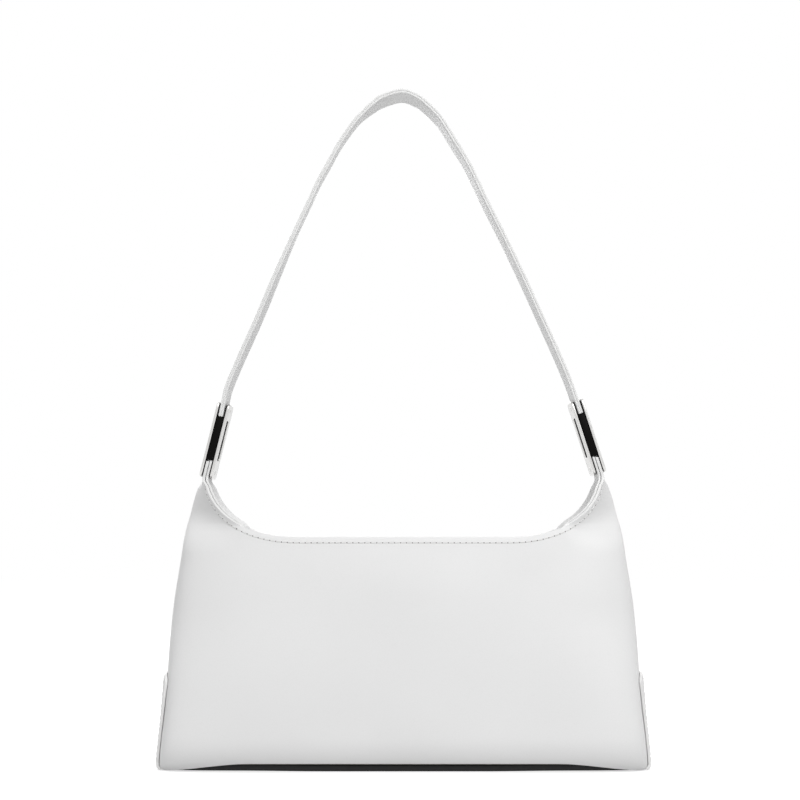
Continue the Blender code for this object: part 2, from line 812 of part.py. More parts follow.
def make_tapes(fabric, teeth):
    for name, side in (("front", -1), ("back", 1)):
        stations = spread(-ZIP_HALF_LENGTH, ZIP_HALF_LENGTH, TAPE_STATIONS)
        rows = [
            [Vector((x, side * zip_edge_y(x), ZIP_Z)) for x in stations],
            [Vector((x, side * TAPE_INNER, ZIP_Z)) for x in stations],
        ]
        add_shell(name + "_zip_tape", rows, TAPE_WALL, fabric, lambda point: Vector((0, 0, 1)))
        half_height = TOOTH_HEIGHT / 2
        level = Matrix.Translation((0, 0, ZIP_Z - TAPE_WALL / 2))
        add_plate(name + "_zip_teeth", [tooth_comb(side)], -half_height, half_height, level, teeth)


def tooth_comb(side):
    """The plan of one row of teeth on its cord. The two rows stand half a pitch apart."""
    count = int(2 * TEETH_HALF_LENGTH / TOOTH_PITCH)
    shift = TOOTH_PITCH / 2 if side > 0 else 0.0
    points = []
    for i in range(count):
        start = -TEETH_HALF_LENGTH + shift + i * TOOTH_PITCH
        points.append((start, side * TOOTH_CORD))
        points.append((start, -side * TOOTH_TIP))
        points.append((start + TOOTH_LENGTH, -side * TOOTH_TIP))
        points.append((start + TOOTH_LENGTH, side * TOOTH_CORD))
    points.append((points[-1][0], side * TOOTH_ROOT))
    points.append((points[0][0], side * TOOTH_ROOT))
    return points


def make_slider(metal):
    middle_z = ZIP_Z - TAPE_WALL / 2
    top = middle_z + SLIDER_MOUTH / 2
    low_x = SLIDER_REST_X - SLIDER_LENGTH / 2
    high_x = SLIDER_REST_X + SLIDER_LENGTH / 2
    roof = top + SLIDER_PLATE
    sink = SLIDER_PLATE / 2
    boxes = [
        ((low_x, -SLIDER_HALF_WIDTH, top), (high_x, SLIDER_HALF_WIDTH, roof)),
        ((low_x, -SLIDER_HALF_WIDTH, middle_z - SLIDER_MOUTH / 2 - SLIDER_PLATE),
         (high_x, SLIDER_HALF_WIDTH, middle_z - SLIDER_MOUTH / 2)),
        ((high_x - SLIDER_POST, -SLIDER_POST_HALF, middle_z - SLIDER_MOUTH / 2 - sink),
         (high_x - SLIDER_POST_INSET, SLIDER_POST_HALF, top + sink)),
    ]
    for side in (-1, 1):
        near = side * BAIL_HALF_SPAN
        far = side * (BAIL_HALF_SPAN - BAIL_WALL)
        boxes.append((
            (SLIDER_REST_X - BAIL_LENGTH / 2, min(near, far), roof - sink),
            (SLIDER_REST_X + BAIL_LENGTH / 2, max(near, far), roof + BAIL_HEIGHT),
        ))
    pin_z = roof + BAIL_HEIGHT - BAIL_LENGTH / 2
    reach = BAIL_HALF_SPAN - BAIL_WALL / 2
    boxes.append((
        (SLIDER_REST_X - PIN_RADIUS, -reach, pin_z - PIN_RADIUS),
        (SLIDER_REST_X + PIN_RADIUS, reach, pin_z + PIN_RADIUS),
    ))
    add_union("zip_slider", boxes, metal)


def puller_pin():
    roof = ZIP_Z - TAPE_WALL / 2 + SLIDER_MOUTH / 2 + SLIDER_PLATE
    return Vector((SLIDER_REST_X, 0.0, roof + BAIL_HEIGHT - BAIL_LENGTH / 2))


def make_puller(metal):
    """A knuckle round the slider's pin with a tongue that lies along the zip, drawn from its side."""
    start = math.asin(PULLER_WALL / 2 / PULLER_KNUCKLE)
    turns = spread(-math.pi + start, math.pi - start, KNUCKLE_SIDES)
    outline = [(PULLER_KNUCKLE * math.cos(turn), PULLER_KNUCKLE * math.sin(turn)) for turn in turns]
    outline += [(-PULLER_LENGTH, PULLER_WALL / 2), (-PULLER_LENGTH, -PULLER_WALL / 2)]
    round_turns = spread(0.0, math.tau, BORE_SIDES)[:-1]
    bore = [(PULLER_BORE * math.cos(turn), PULLER_BORE * math.sin(turn)) for turn in round_turns]
    upright = Matrix.Translation(puller_pin()) @ Matrix.Rotation(math.radians(90), 4, "X")
    add_plate("zip_puller", [outline, bore], -PULLER_HALF_WIDTH, PULLER_HALF_WIDTH, upright, metal)


def make_zip_ends(leather, metal):
    """A leather tab closes the gap past each end of the tapes, and a metal stop ends the teeth."""
    for name, side in (("left", -1), ("right", 1)):
        near = ZIP_HALF_LENGTH + FIT_GAP
        stations = spread(near, near + END_TAB_LENGTH, END_TAB_STATIONS)
        rows = [
            [Vector((side * x, across * zip_edge_y(x), ZIP_Z)) for x in stations]
            for across in spread(-1.0, 1.0, END_TAB_ROWS)
        ]
        add_shell(name + "_zip_end_tab", rows, END_TAB_WALL, leather, lambda point: Vector((0, 0, 1)))
    low_x = -TEETH_HALF_LENGTH - FIT_GAP - STOP_LENGTH
    stop_z = ZIP_Z + FIT_GAP
    low = (low_x, -STOP_HALF_WIDTH, stop_z)
    high = (low_x + STOP_LENGTH, STOP_HALF_WIDTH, stop_z + SLIDER_PLATE)
    add_object("zip_stop", box_mesh("zip_stop", low, high), metal)


def main():
    clear_scene()
    make_collection(PARTS)
    make_collection(CUTTERS)
    leather = make_material("White leather", (0.82, 0.82, 0.83), 0.32)
    edge_leather = make_material("White inner leather", (0.78, 0.78, 0.79), 0.45)
    black = make_material("Black base", (0.012, 0.012, 0.013), 0.55)
    lacquer = make_material("Black lacquer", (0.008, 0.007, 0.006), 0.12)
    metal = make_material("Polished steel", (0.78, 0.77, 0.75), 0.14, 1.0)
    board = make_material("Grey board", (0.45, 0.44, 0.42), 0.8)
    fabric = make_material("Ivory cloth", (0.70, 0.69, 0.66), 0.75)
    make_panels(leather)
    make_facings(edge_leather)
    make_stiffeners(board)
    make_lining(fabric)
    make_pocket(fabric)
    make_base(black, board)
    make_patches(leather)
    make_links(metal, lacquer)
    make_necks(leather)
    make_strap(leather, edge_leather)
    make_tapes(fabric, metal)
    make_slider(metal)
    make_puller(metal)
    make_zip_ends(edge_leather, metal)


main()
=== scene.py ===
"""The looks of a white leather shoulder bag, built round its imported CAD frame: the leather skins with
their doubled and stitched mouth edge, the end patches, the base, the links, the strap and the inside."""

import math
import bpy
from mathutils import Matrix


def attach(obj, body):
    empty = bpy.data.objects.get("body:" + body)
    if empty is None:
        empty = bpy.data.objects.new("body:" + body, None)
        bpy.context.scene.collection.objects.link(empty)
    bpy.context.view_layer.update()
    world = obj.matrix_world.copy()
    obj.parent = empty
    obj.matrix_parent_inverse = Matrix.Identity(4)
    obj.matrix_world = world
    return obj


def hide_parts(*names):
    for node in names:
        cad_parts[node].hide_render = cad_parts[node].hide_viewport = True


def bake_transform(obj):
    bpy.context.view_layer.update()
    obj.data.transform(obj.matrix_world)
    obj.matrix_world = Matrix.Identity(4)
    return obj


bl_info = {
    "name": "Scooped Shoulder Bag",
    "version": (1, 0, 0),
    "blender": (4, 5, 0),
    "location": "View3D > Sidebar > Bag",
    "description": "Models a white leather shoulder bag with a scooped mouth round its CAD frame",
    "category": "Add Mesh",
}

import bmesh
import bpy
from bpy.props import FloatProperty, FloatVectorProperty, IntProperty, PointerProperty
from bpy.types import Operator, Panel, PropertyGroup
from mathutils import Matrix, Vector

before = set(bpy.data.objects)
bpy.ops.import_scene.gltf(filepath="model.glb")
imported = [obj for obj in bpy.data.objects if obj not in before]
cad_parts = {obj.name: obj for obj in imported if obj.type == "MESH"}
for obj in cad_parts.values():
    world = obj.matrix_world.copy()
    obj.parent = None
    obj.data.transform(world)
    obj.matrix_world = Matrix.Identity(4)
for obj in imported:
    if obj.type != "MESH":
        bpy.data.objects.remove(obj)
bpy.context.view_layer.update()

# The body's shape, in metres, as in the CAD
BASE_HALF_WIDTH = 0.1362
BASE_HALF_DEPTH = 0.0372
TIP_Z = 0.1665
FOOT_POWER = 9.0
PLAN_POWER = 4.0
ROUND_Z = 0.09
WIDTH_SHARES = [
    (0.0, 1.0), (0.098, 0.988), (0.207, 0.976), (0.342, 0.969), (0.453, 0.963), (0.562, 0.95),
    (0.699, 0.924), (0.801, 0.906), (0.856, 0.889), (0.9105, 0.872), (0.965, 0.849), (1.0, 0.833),
]
DEPTH_SHARES = [(0.0, 1.0), (0.3, 0.87), (0.6, 0.715), (0.775, 0.605), (1.0, 0.47)]
FRONT_ROLL_HEIGHT = 0.019
FRONT_ROLL_INSET = 0.0075
SIDE_ROLL_HEIGHT = 0.003
SIDE_ROLL_INSET = 0.0018
ROLL_TURN_SHARE = 0.85
LOWER_EDGE_ARCH = 0.0048
ARCH_FROM = 0.62
END_RISE = 0.0004
SCOOP_Z = 0.1293
SCOOP_FLAT_HALF = BASE_HALF_WIDTH * 0.4258
SCOOP_HALF_WIDTH = BASE_HALF_WIDTH * 0.8238
SCOOP_CURVE_TOP = 0.168
SCOOP_POWER = 2.2
FOLD_LOW_Z = 0.122
FOLD_EDGE_Z = 0.136
FOLD_HIGH_Z = 0.145
FOLD_FACING = 0.7
TURN_STEP = 0.02
NECK_BLEND_Z = 0.1575
NECK_TUCK = 0.0096
NECK_HALF_WIDTH = 0.0092
FIT_GAP = 0.0003
PANEL_WALL = 0.0016
FACING_WALL = 0.0013
FACING_DROP = 0.024
LINING_WALL = 0.0008
LINING_LAP = 0.006
LINING_CREASE = 0.0003
BASE_WALL = 0.0037
BASE_UNDERSIDE_Z = 0.0004
BASE_FLAT_HALF = 0.045
BASE_SAG_SPAN = 0.045
BASE_EDGE_CLEARANCE = 0.0006
BOARD_WALL = 0.0015
PATCH_WALL = 0.0015
PATCH_GAP = 0.0003
PATCH_TOP_Z = 0.0535
PATCH_TOP_HALF = 0.0215
PATCH_FOOT_HALF = 0.0225
PATCH_CORNER = 0.006

# The links and the strap
LINK_FOOT_X = BASE_HALF_WIDTH * 0.8194
LEFT_FOOT_Z = 0.1628
RIGHT_FOOT_Z = 0.1652
LEFT_LEAN_DEG = 14.1
RIGHT_LEAN_DEG = 18.0
LINK_LENGTH = 0.0436
LINK_HALF_WIDTH = 0.0092
PLATE_WALL = 0.0015
PLATE_INNER = 0.0022
WINDOW_HALF_WIDTH = 0.0050
WINDOW_LOW = 0.0110
WINDOW_HIGH = 0.0342
CORE_LOW = 0.0104
CORE_HIGH = 0.0351
RIVET_INSET = 0.0038
RIVET_RADIUS = 0.0013
PLATE_CORNER = 0.003
WINDOW_CORNER = 0.0015
LINER_LOW = 0.0017
LINER_HIGH = 0.00215
LINER_INSET = 0.001
LINER_ROUNDING = 0.0001
STRAP_TOP_Z = 0.3802
STRAP_HALF_WIDTH = 0.010
STRAP_LAYER = 0.00128
STRAP_TUCK = 0.0082
STRAP_SWAY = 0.0009
STRAP_STEPS = 200
STRAP_CROWN = 0.00012
STRAP_SEAM = FIT_GAP * 0.2
STRAP_EYE_Z = 0.2
TWIST_LOW_Z = 0.262
TWIST_RISE = 0.05
TWIST_HIGH_Z = 0.378
TWIST_FADE = 0.012
HAIR_SHORT = 0.99999
LEFT_LEG_SHARES = [
    (0.9893, 0.0395), (0.9220, 0.1354), (0.8220, 0.2639), (0.7279, 0.3924), (0.6269, 0.5209),
    (0.5219, 0.6488), (0.4704, 0.7133), (0.4090, 0.7773), (0.3466, 0.8418), (0.2674, 0.9058),
    (0.2198, 0.9349), (0.1674, 0.9635), (0.1169, 0.9829),
]
RIGHT_LEG_SHARES = [
    (0.9722, 0.0440), (0.9029, 0.1394), (0.8000, 0.2673), (0.6971, 0.3952), (0.5880, 0.5231),
    (0.4739, 0.6504), (0.4209, 0.7147), (0.3638, 0.7783), (0.2935, 0.8426), (0.2232, 0.9062),
    (0.1804, 0.9352), (0.1264, 0.9636), (0.0805, 0.9829),
]

# The zip and the pocket
ZIP_Z = 0.1165
ZIP_HALF_LENGTH = BASE_HALF_WIDTH * 0.6314
TAPE_WALL = 0.001
TAPE_WALL_SHARE = 0.7
TAPE_INNER = 0.0018
TAPE_SAG = 0.0004
TAPE_ROUNDING = 0.0002
ZIP_MIDDLE_Z = ZIP_Z - TAPE_WALL / 2
TOOTH_PITCH = 0.004
TOOTH_SIZE = 0.0009
TOOTH_INNER = 0.0004
TOOTH_OUTER = 0.0014
TOOTH_ROUNDING = 0.00022
TEETH_CORD_RADIUS = 0.0004
TEETH_HALF_LENGTH = BASE_HALF_WIDTH * 0.5654
SLIDER_LENGTH = 0.010
SLIDER_HALF_WIDTH = 0.004
SLIDER_CORNER = 0.0022
SLIDER_PLATE = 0.0011
SLIDER_MOUTH = 0.0028
SLIDER_ROUNDING = 0.00025
SLIDER_REST_X = BASE_HALF_WIDTH * 0.5764
POST_NEAR = 0.0014
POST_FAR = 0.0004
POST_HALF_WIDTH = 0.0012
BAIL_HEIGHT = 0.0034
BAIL_HALF_SPAN = 0.0027
BAIL_LENGTH = 0.0022
BAIL_WALL = 0.0008
PIN_RADIUS = 0.0005
PIN_Z = ZIP_MIDDLE_Z + SLIDER_MOUTH / 2 + SLIDER_PLATE + BAIL_HEIGHT - BAIL_LENGTH / 2
PULLER_LENGTH = 0.024
PULLER_FROM = 0.0012
PULLER_CORNER = 0.0013
PULLER_KNUCKLE = 0.0014
PULLER_EYE = 0.0008
PULLER_HALF_WIDTH = 0.0016
PULLER_WALL = 0.0011
PULLER_ROUNDING = 0.0002
END_TAB_LENGTH = 0.014
END_TAB_WALL = 0.0012
END_TAB_ROUNDING = 0.0003
STOP_LENGTH = 0.0022
STOP_HALF_WIDTH = 0.0032
STOP_ROUNDING = 0.0003
POCKET_HALF_WIDTH = BASE_HALF_WIDTH * 0.455
POCKET_LOW_Z = 0.034
POCKET_HIGH_Z = 0.092
POCKET_WALL = 0.0006
POCKET_SLACK = 0.0006
POCKET_HEM = 0.0003
POCKET_HEM_FROM = 0.88

# What comes in pairs, with its side along Y or X
FACES = (("front", -1), ("back", 1))
SIDES = (("left", -1), ("right", 1))
LEATHER_AND_EDGE = ("White leather", "Edge paint")
INNER_AND_EDGE = ("Inner leather", "Edge paint")
QUARTER_TURN = math.radians(90)


def length_setting(name, description, default, lowest, highest):
    return FloatProperty(
        name=name, description=description, default=default, min=lowest, max=highest,
        subtype="DISTANCE", unit="LENGTH")


def level_setting(name, description, default, highest):
    return FloatProperty(name=name, description=description, default=default, min=0.0, max=highest)


def colour_setting(name, description, default):
    return FloatVectorProperty(
        name=name, description=description, default=default, size=3, subtype="COLOR", min=0.0, max=1.0)


class BagShape(PropertyGroup):
    edge_rounding: length_setting(
        "Edge rounding", "Radius of the painted edges of each leather layer", 0.0005, 0.0001, 0.0008)
    stitch_pitch: length_setting(
        "Stitch pitch", "Distance from one needle hole to the next", 0.0033, 0.001, 0.008)
    stitch_inset: length_setting(
        "Stitch inset", "Distance of the stitching from the edge beside it", 0.0033, 0.001, 0.01)
    thread_radius: length_setting(
        "Thread radius", "Half the thickness of the sewing thread", 0.00026, 0.0001, 0.001)
    panel_ripple: length_setting(
        "Panel ripple", "How far the front and the back stray from their even curve", 0.0004, 0.0, 0.001)
    plate_rounding: length_setting(
        "Plate rounding", "Radius along the edges of the link plates", 0.00045, 0.0001, 0.0007)
    leg_twist: length_setting(
        "Leg twist", "How far the left leg's back edge stands out past its front edge", 0.0017, 0.0, 0.004)
    strap_columns: IntProperty(
        name="Strap columns", description="Faces across the strap", default=8, min=4, max=24)


class BagFinish(PropertyGroup):
    leather: colour_setting("Leather", "Colour of the outer leather", (0.82, 0.82, 0.82))
    facing: colour_setting("Facing", "Colour of the inner leather", (0.84, 0.84, 0.84))
    edge_paint: colour_setting("Edge paint", "Colour of the painted leather edges", (0.80, 0.80, 0.795))
    thread: colour_setting("Thread", "Colour of the sewing thread", (0.80, 0.80, 0.79))
    # The needle holes' dark colour is painted shade inside the holes.
    needle_hole_shade: colour_setting("Needle holes", "Colour inside the needle holes", (0.22, 0.21, 0.20))
    # Painted shade: the base's near-black stands in for the dark shadow under the arched lower edge.
    base: colour_setting("Base", "Colour of the base panel", (0.010, 0.010, 0.011))
    # The lacquer's near-black is partly the cores' own colour and partly painted shade for the deep gaps
    # between the link plates; on the liners it is only painted shade.
    lacquer: colour_setting("Lacquer", "Colour of the link cores", (0.003, 0.0027, 0.0025))
    steel: colour_setting("Steel", "Colour of the plates and the zip's metal", (0.64, 0.635, 0.625))
    lining: colour_setting("Lining", "Colour of the lining cloth", (0.68, 0.66, 0.61))
    tape: colour_setting("Zip tape", "Colour of the zip's tapes", (0.76, 0.76, 0.75))
    board: colour_setting("Board", "Colour of the stiffening board", (0.42, 0.39, 0.34))


class BagStage(PropertyGroup):
    ambient: level_setting("Ambient", "Strength of the even light from all round", 0.85, 2.0)
    key_power: level_setting("Key power", "Power of the large lamp above the front", 13.9, 100.0)
    floor_white: level_setting(
        "Floor glow", "How bright the floor is to the camera before any light falls on it", 0.67, 1.0)
    side_flags: level_setting(
        "Side flags", "How far the light from straight left and right is held back", 1.0, 1.0)


def ease(run):
    """A smooth step from 0 to 1."""
    share = min(max(run, 0.0), 1.0)
    return share * share * (3 - 2 * share)


def smooth_between(start, end, leaving, arriving, t):
    """A smooth curve from start to end, with its slopes there given for t from 0 to 1."""
    from_start = (start * (1 + 2 * t) + leaving * t) * (1 - t) ** 2
    return from_start + (end * (3 - 2 * t) + arriving * (t - 1)) * t * t


def curve_value(shares, at):
    """A smooth curve through the table's points, read at one place."""
    last = len(shares) - 2
    index = max(i for i in range(last + 1) if i == 0 or shares[i][0] <= at)
    (x0, y0), (x1, y1) = shares[index], shares[index + 1]
    before = shares[max(index - 1, 0)]
    after = shares[min(index + 2, last + 1)]
    step = x1 - x0
    slope0 = step * (y1 - before[1]) / (x1 - before[0])
    slope1 = step * (after[1] - y0) / (after[0] - x0)
    t = (at - x0) / step
    if t > 1:
        return y1 + slope1 * (t - 1)
    return smooth_between(y0, y1, slope0, slope1, t)


def roll_inset(z, height, inset):
    """How far the wall has curved in, this high above the floor."""
    if z >= height:
        return 0.0
    turn = ROLL_TURN_SHARE * (height - z) / height
    return inset * (1 - math.sqrt(1 - turn ** 2)) / (1 - math.sqrt(1 - ROLL_TURN_SHARE ** 2))


def half_width(z):
    share = curve_value(WIDTH_SHARES, z / TIP_Z)
    return BASE_HALF_WIDTH * share - roll_inset(z, SIDE_ROLL_HEIGHT, SIDE_ROLL_INSET)


def half_depth(z):
    share = curve_value(DEPTH_SHARES, z / TIP_Z)
    return BASE_HALF_DEPTH * share - roll_inset(z, FRONT_ROLL_HEIGHT, FRONT_ROLL_INSET)


def plan_power(z):
    return FOOT_POWER + (PLAN_POWER - FOOT_POWER) * ease(z / ROUND_Z)


def fold_share(z):
    """How far a horn is pressed flat between its side seam and the mouth's edge."""
    return ease((z - FOLD_LOW_Z) / (FOLD_HIGH_Z - FOLD_LOW_Z))


def plan_y(share, z):
    """Half the body's depth, this far out as a share of its half width."""
    power = plan_power(z)
    reach = (1 - share ** power) ** (1 / power)
    level = max(z, FOLD_EDGE_Z)
    edge = mouth_half_width(level) / half_width(level)
    if share > edge or z > FOLD_EDGE_Z:
        chord = (1 - edge ** power) ** (1 / power) * (1 - share) / (1 - edge)
        reach += (chord - reach) * fold_share(z)
    return half_depth(z) * reach


def skin(turn, z):
    """A point of the body's outer face. Turn is 0 at +X and 90 degrees at +Y."""
    share = column_share(turn)
    x = math.copysign(half_width(z) * share, math.cos(turn))
    return Vector((x, math.copysign(plan_y(share, z), math.sin(turn)), z))


def wall_spot(turn, z):
    """A point of the body's outer face and the way out of it there."""
    along = skin(turn + TURN_STEP, z) - skin(turn - TURN_STEP, z)
    rise = skin(turn, z + FIT_GAP) - skin(turn, z - FIT_GAP)
    return skin(turn, z), along.cross(rise).normalized()


def inward(turn, z, flat=False):
    """The way to a wall's inner layers, for each metre of depth. In a horn they lie along X."""
    way = wall_spot(turn, z)[1]
    if flat:
        way = Vector((way.x, way.y, 0.0)).normalized()
    fold = fold_share(z) * min((way.x / FOLD_FACING) ** 2, 1.0)
    return -(way * (1 - fold) + Vector((math.copysign(fold, way.x), 0.0, 0.0)))


def wall_point(turn, z, depth=0.0, flat=False):
    return skin(turn, z) + inward(turn, z, flat) * depth


def turn_at(x, z, face):
    """The turn at which the wall passes this width, in front for face -1 and behind for 1."""
    share = min(max(x / half_width(z), -1.0), 1.0)
    return face * math.acos(math.copysign(abs(share) ** (PLAN_POWER / 2), share))


def column_share(turn):
    return abs(math.cos(turn)) ** (2 / PLAN_POWER)


def mouth_half_width(z):
    rise = min(max((SCOOP_CURVE_TOP - z) / (SCOOP_CURVE_TOP - SCOOP_Z), 0.0), 1.0)
    share = (1 - rise ** SCOOP_POWER) ** (1 / SCOOP_POWER)
    return SCOOP_FLAT_HALF + (SCOOP_HALF_WIDTH - SCOOP_FLAT_HALF) * share


def edge_z(turn, limit):
    """The height at which the mouth's edge crosses this column, up to a limit."""
    share = column_share(turn)
    low, high = SCOOP_Z, limit
    if half_width(low) * share <= SCOOP_FLAT_HALF:
        return low
    if half_width(high) * share >= mouth_half_width(high):
        return high
    for _ in range(30):
        middle = (low + high) / 2
        if half_width(middle) * share > mouth_half_width(middle):
            low = middle
        else:
            high = middle
    return low


def edge_turn(z):
    """The turn, from the side seam, at which the mouth's edge crosses this height."""
    share = min(mouth_half_width(z) / half_width(z), 1.0)
    return math.acos(share ** (PLAN_POWER / 2))


def lower_z(turn):
    outer = ease((column_share(turn) - ARCH_FROM) / (1 - ARCH_FROM))
    return LOWER_EDGE_ARCH + (END_RISE - LOWER_EDGE_ARCH) * outer


def link_lean(side):
    return math.radians(LEFT_LEAN_DEG if side < 0 else RIGHT_LEAN_DEG)


def link_foot(side):
    return LEFT_FOOT_Z if side < 0 else RIGHT_FOOT_Z


def link_x(side, z):
    return LINK_FOOT_X - (z - LEFT_FOOT_Z) * math.tan(link_lean(side))


def neck_top(side):
    return link_foot(side) + NECK_TUCK * math.cos(link_lean(side))


RIPPLE_FADE = 0.03
RIPPLE_WAVES = ((1.0, 61, 0, 0.8), (0.6, 93, -38, 2.1), (0.4, 27, 71, 0.0))


def ripple(x, z, amount):
    """Slow, shallow waves of the soft panel, gone at its edges."""
    ends = ease((0.9 - abs(x) / BASE_HALF_WIDTH) / 0.25)
    hold = ease(z / RIPPLE_FADE) * ease((SCOOP_Z - z) / RIPPLE_FADE) * ends
    wave = sum(share * math.sin(along * x + up * z + start) for share, along, up, start in RIPPLE_WAVES)
    return amount * hold * wave


class Wire:
    """A node's output that can stand in a sum."""

    def __init__(self, recipe, socket):
        self.recipe = recipe
        self.socket = socket

    def join(self, operation, *others):
        return self.recipe.node("ShaderNodeMath", {"operation": operation}, dict(enumerate(others)))

    def __add__(self, other):
        return self.join("ADD", self, other)

    def __sub__(self, other):
        return self.join("SUBTRACT", self, other)

    def __rsub__(self, other):
        return self.join("SUBTRACT", other, self)

    def __mul__(self, other):
        return self.join("MULTIPLY", self, other)

    def clamped(self, low=0.0, high=1.0):
        return self.recipe.node("ShaderNodeClamp", {}, {0: self, 1: low, 2: high})

    __radd__ = __add__
    __rmul__ = __mul__


class Recipe:
    """A material, or the world, as a tree of nodes."""

    def __init__(self, name, owner=None):
        self.owner = owner or bpy.data.materials.new(name)
        self.owner.use_nodes = True
        self.tree = self.owner.node_tree
        self.tree.nodes.clear()
        self.place = None

    def node(self, kind, settings, values, output=0):
        made = self.tree.nodes.new(kind)
        for key, value in settings.items():
            if key == "stops":
                ramp = made.color_ramp.elements
                while len(ramp) < len(value):
                    ramp.new(1.0)
                for element, (at, tone) in zip(ramp, value):
                    element.position = at
                    element.color = (tone, tone, tone, 1.0)
            else:
                setattr(made, key, value)
        for key, value in values.items():
            self.feed(made.inputs[key], value)
        return Wire(self, made.outputs[output]) if len(made.outputs) else None

    def feed(self, socket, value):
        if isinstance(value, Wire):
            self.tree.links.new(value.socket, socket)
        elif socket.type == "RGBA":
            socket.default_value = (*value, 1.0)
        else:
            socket.default_value = value

    def where(self):
        if self.place is None:
            self.place = self.node("ShaderNodeTexCoord", {}, {}, "Object")
        return self.place

    def noise(self, scale, detail=2.0, roughness=0.5, stretch=None):
        spot = self.where()
        if stretch:
            spot = self.node("ShaderNodeMapping", {}, {"Vector": spot, "Scale": stretch})
        values = {"Vector": spot, "Scale": scale, "Detail": detail, "Roughness": roughness}
        return self.node("ShaderNodeTexNoise", {}, values, "Fac")

    def cells(self, scale, feature="DISTANCE_TO_EDGE"):
        values = {"Vector": self.where(), "Scale": scale}
        return self.node("ShaderNodeTexVoronoi", {"feature": feature}, values, "Distance")

    def blend(self, factor, first, second):
        values = {0: factor, 6: first, 7: second}
        return self.node("ShaderNodeMix", {"data_type": "RGBA"}, values, 2)

    def ramp(self, value, stops):
        return self.node("ShaderNodeValToRGB", {"stops": stops}, {0: value}, "Color")

    def bump(self, height, distance, strength=1.0, normal=None):
        values = {"Height": height, "Distance": distance, "Strength": strength}
        if normal:
            values["Normal"] = normal
        return self.node("ShaderNodeBump", {}, values)

    def finish(self, **values):
        """Ends the tree in a Principled shader, whose sockets are given with _ for a space."""
        named = {key.replace("_", " "): value for key, value in values.items()}
        shader = self.node("ShaderNodeBsdfPrincipled", {}, named)
        self.node("ShaderNodeOutputMaterial", {}, {"Surface": shader})
        return self.owner


def shade(colour, factor):
    return tuple(channel * factor for channel in colour)


def leather_material(name, colour, gloss, grain):
    """Smooth drum-dyed leather: fine pores, a faint cell grain whose crease lines are painted darker as
    shade, and slow changes of tone and gloss.
    """
    mix = Recipe(name)
    pores = mix.ramp(mix.cells(1500.0, "F1"), [(0.0, 0.0), (0.22, 1.0)])
    creases = mix.ramp(mix.cells(620.0), [(0.0, 0.0), (0.09, 1.0)])
    cloud = mix.noise(14.0, 3.0)
    fine = mix.noise(2600.0, 2.0)
    tone = mix.blend((cloud * 0.8 + fine * 0.2).clamped(), shade(colour, 0.975), shade(colour, 1.015))
    # Painted shade: the grain's crease lines are darkened, as shade would fall in them.
    tone = mix.blend((1 - creases) * 0.25, tone, shade(colour, 0.93))
    rough = gloss + cloud * 0.07 + fine * 0.05 + (1 - pores) * 0.08
    normal = mix.bump(mix.noise(55.0, 2.0), 0.0012, 0.10)
    normal = mix.bump(creases * 0.6 + pores * 0.25 + fine * 0.3, 0.00006, grain, normal)
    return mix.finish(
        Base_Color=tone, Roughness=rough, Normal=normal, IOR=1.48, Coat_Weight=0.12, Coat_Roughness=0.32)


def edge_material(name, colour):
    """Edge paint: several brushed coats, satin, with the brush's slow waves."""
    mix = Recipe(name)
    wave = mix.noise(260.0, 2.0)
    cloud = mix.noise(40.0, 2.0)
    tone = mix.blend(cloud, shade(colour, 0.97), shade(colour, 1.01))
    normal = mix.bump(wave, 0.00012, 0.12)
    return mix.finish(Base_Color=tone, Roughness=0.3 + wave * 0.12, Normal=normal, IOR=1.48)


def thread_material(name, colour):
    """Bonded sewing thread, whose twist shows as slanting ridges, with painted shade in the grooves
    between them.
    """
    mix = Recipe(name)
    twist = mix.node(
        "ShaderNodeTexWave", {"bands_direction": "DIAGONAL"},
        {"Vector": mix.where(), "Scale": 900.0, "Distortion": 1.5, "Detail": 1.0}, "Fac")
    # Painted shade: the twist's grooves are darker than its ridges.
    tone = mix.blend(twist, shade(colour, 0.86), shade(colour, 1.04))
    return mix.finish(Base_Color=tone, Roughness=0.5 + twist * 0.1, Normal=mix.bump(twist, 0.00008, 0.6))


# Painted shade: the needle holes' dark beads stand in for the shade inside the holes.
def hole_material(name, colour):
    mix = Recipe(name)
    tone = mix.blend(mix.noise(700.0), shade(colour, 0.6), shade(colour, 1.4))
    return mix.finish(Base_Color=tone, Roughness=0.8 + mix.noise(300.0) * 0.1, IOR=1.3)


def base_material(name, colour):
    """Matt pebbled leather under the bag, near-black as painted shade for the dark shadow under the arched
    lower edge, and a little scuffed where it meets a table.
    """
    mix = Recipe(name)
    pebbles = mix.ramp(mix.cells(900.0), [(0.0, 0.0), (0.25, 1.0)])
    scuff = mix.ramp(mix.noise(90.0, 4.0, 0.7), [(0.55, 0.0), (0.8, 1.0)])
    tone = mix.blend(scuff * 0.5, colour, shade(colour, 2.2))
    rough = 0.52 + scuff * 0.2 + pebbles * 0.06
    return mix.finish(Base_Color=tone, Roughness=rough, Normal=mix.bump(pebbles, 0.00012, 0.5), IOR=1.4)


def steel_material(name, colour):
    """Polished plated steel with hairlines, faint smudges and a soft waviness."""
    mix = Recipe(name)
    hairlines = mix.noise(5200.0, 2.0, 0.6, (0.08, 1.0, 0.08))
    smudge = mix.noise(120.0, 3.0, 0.6)
    tone = mix.blend(smudge, shade(colour, 0.93), shade(colour, 1.03))
    rough = 0.13 + smudge * 0.1 + hairlines * 0.05
    normal = mix.bump(mix.noise(75.0, 1.0), 0.0002, 0.12)
    normal = mix.bump(hairlines, 0.00001, 0.3, normal)
    return mix.finish(Base_Color=tone, Metallic=1.0, Roughness=rough, Normal=normal)


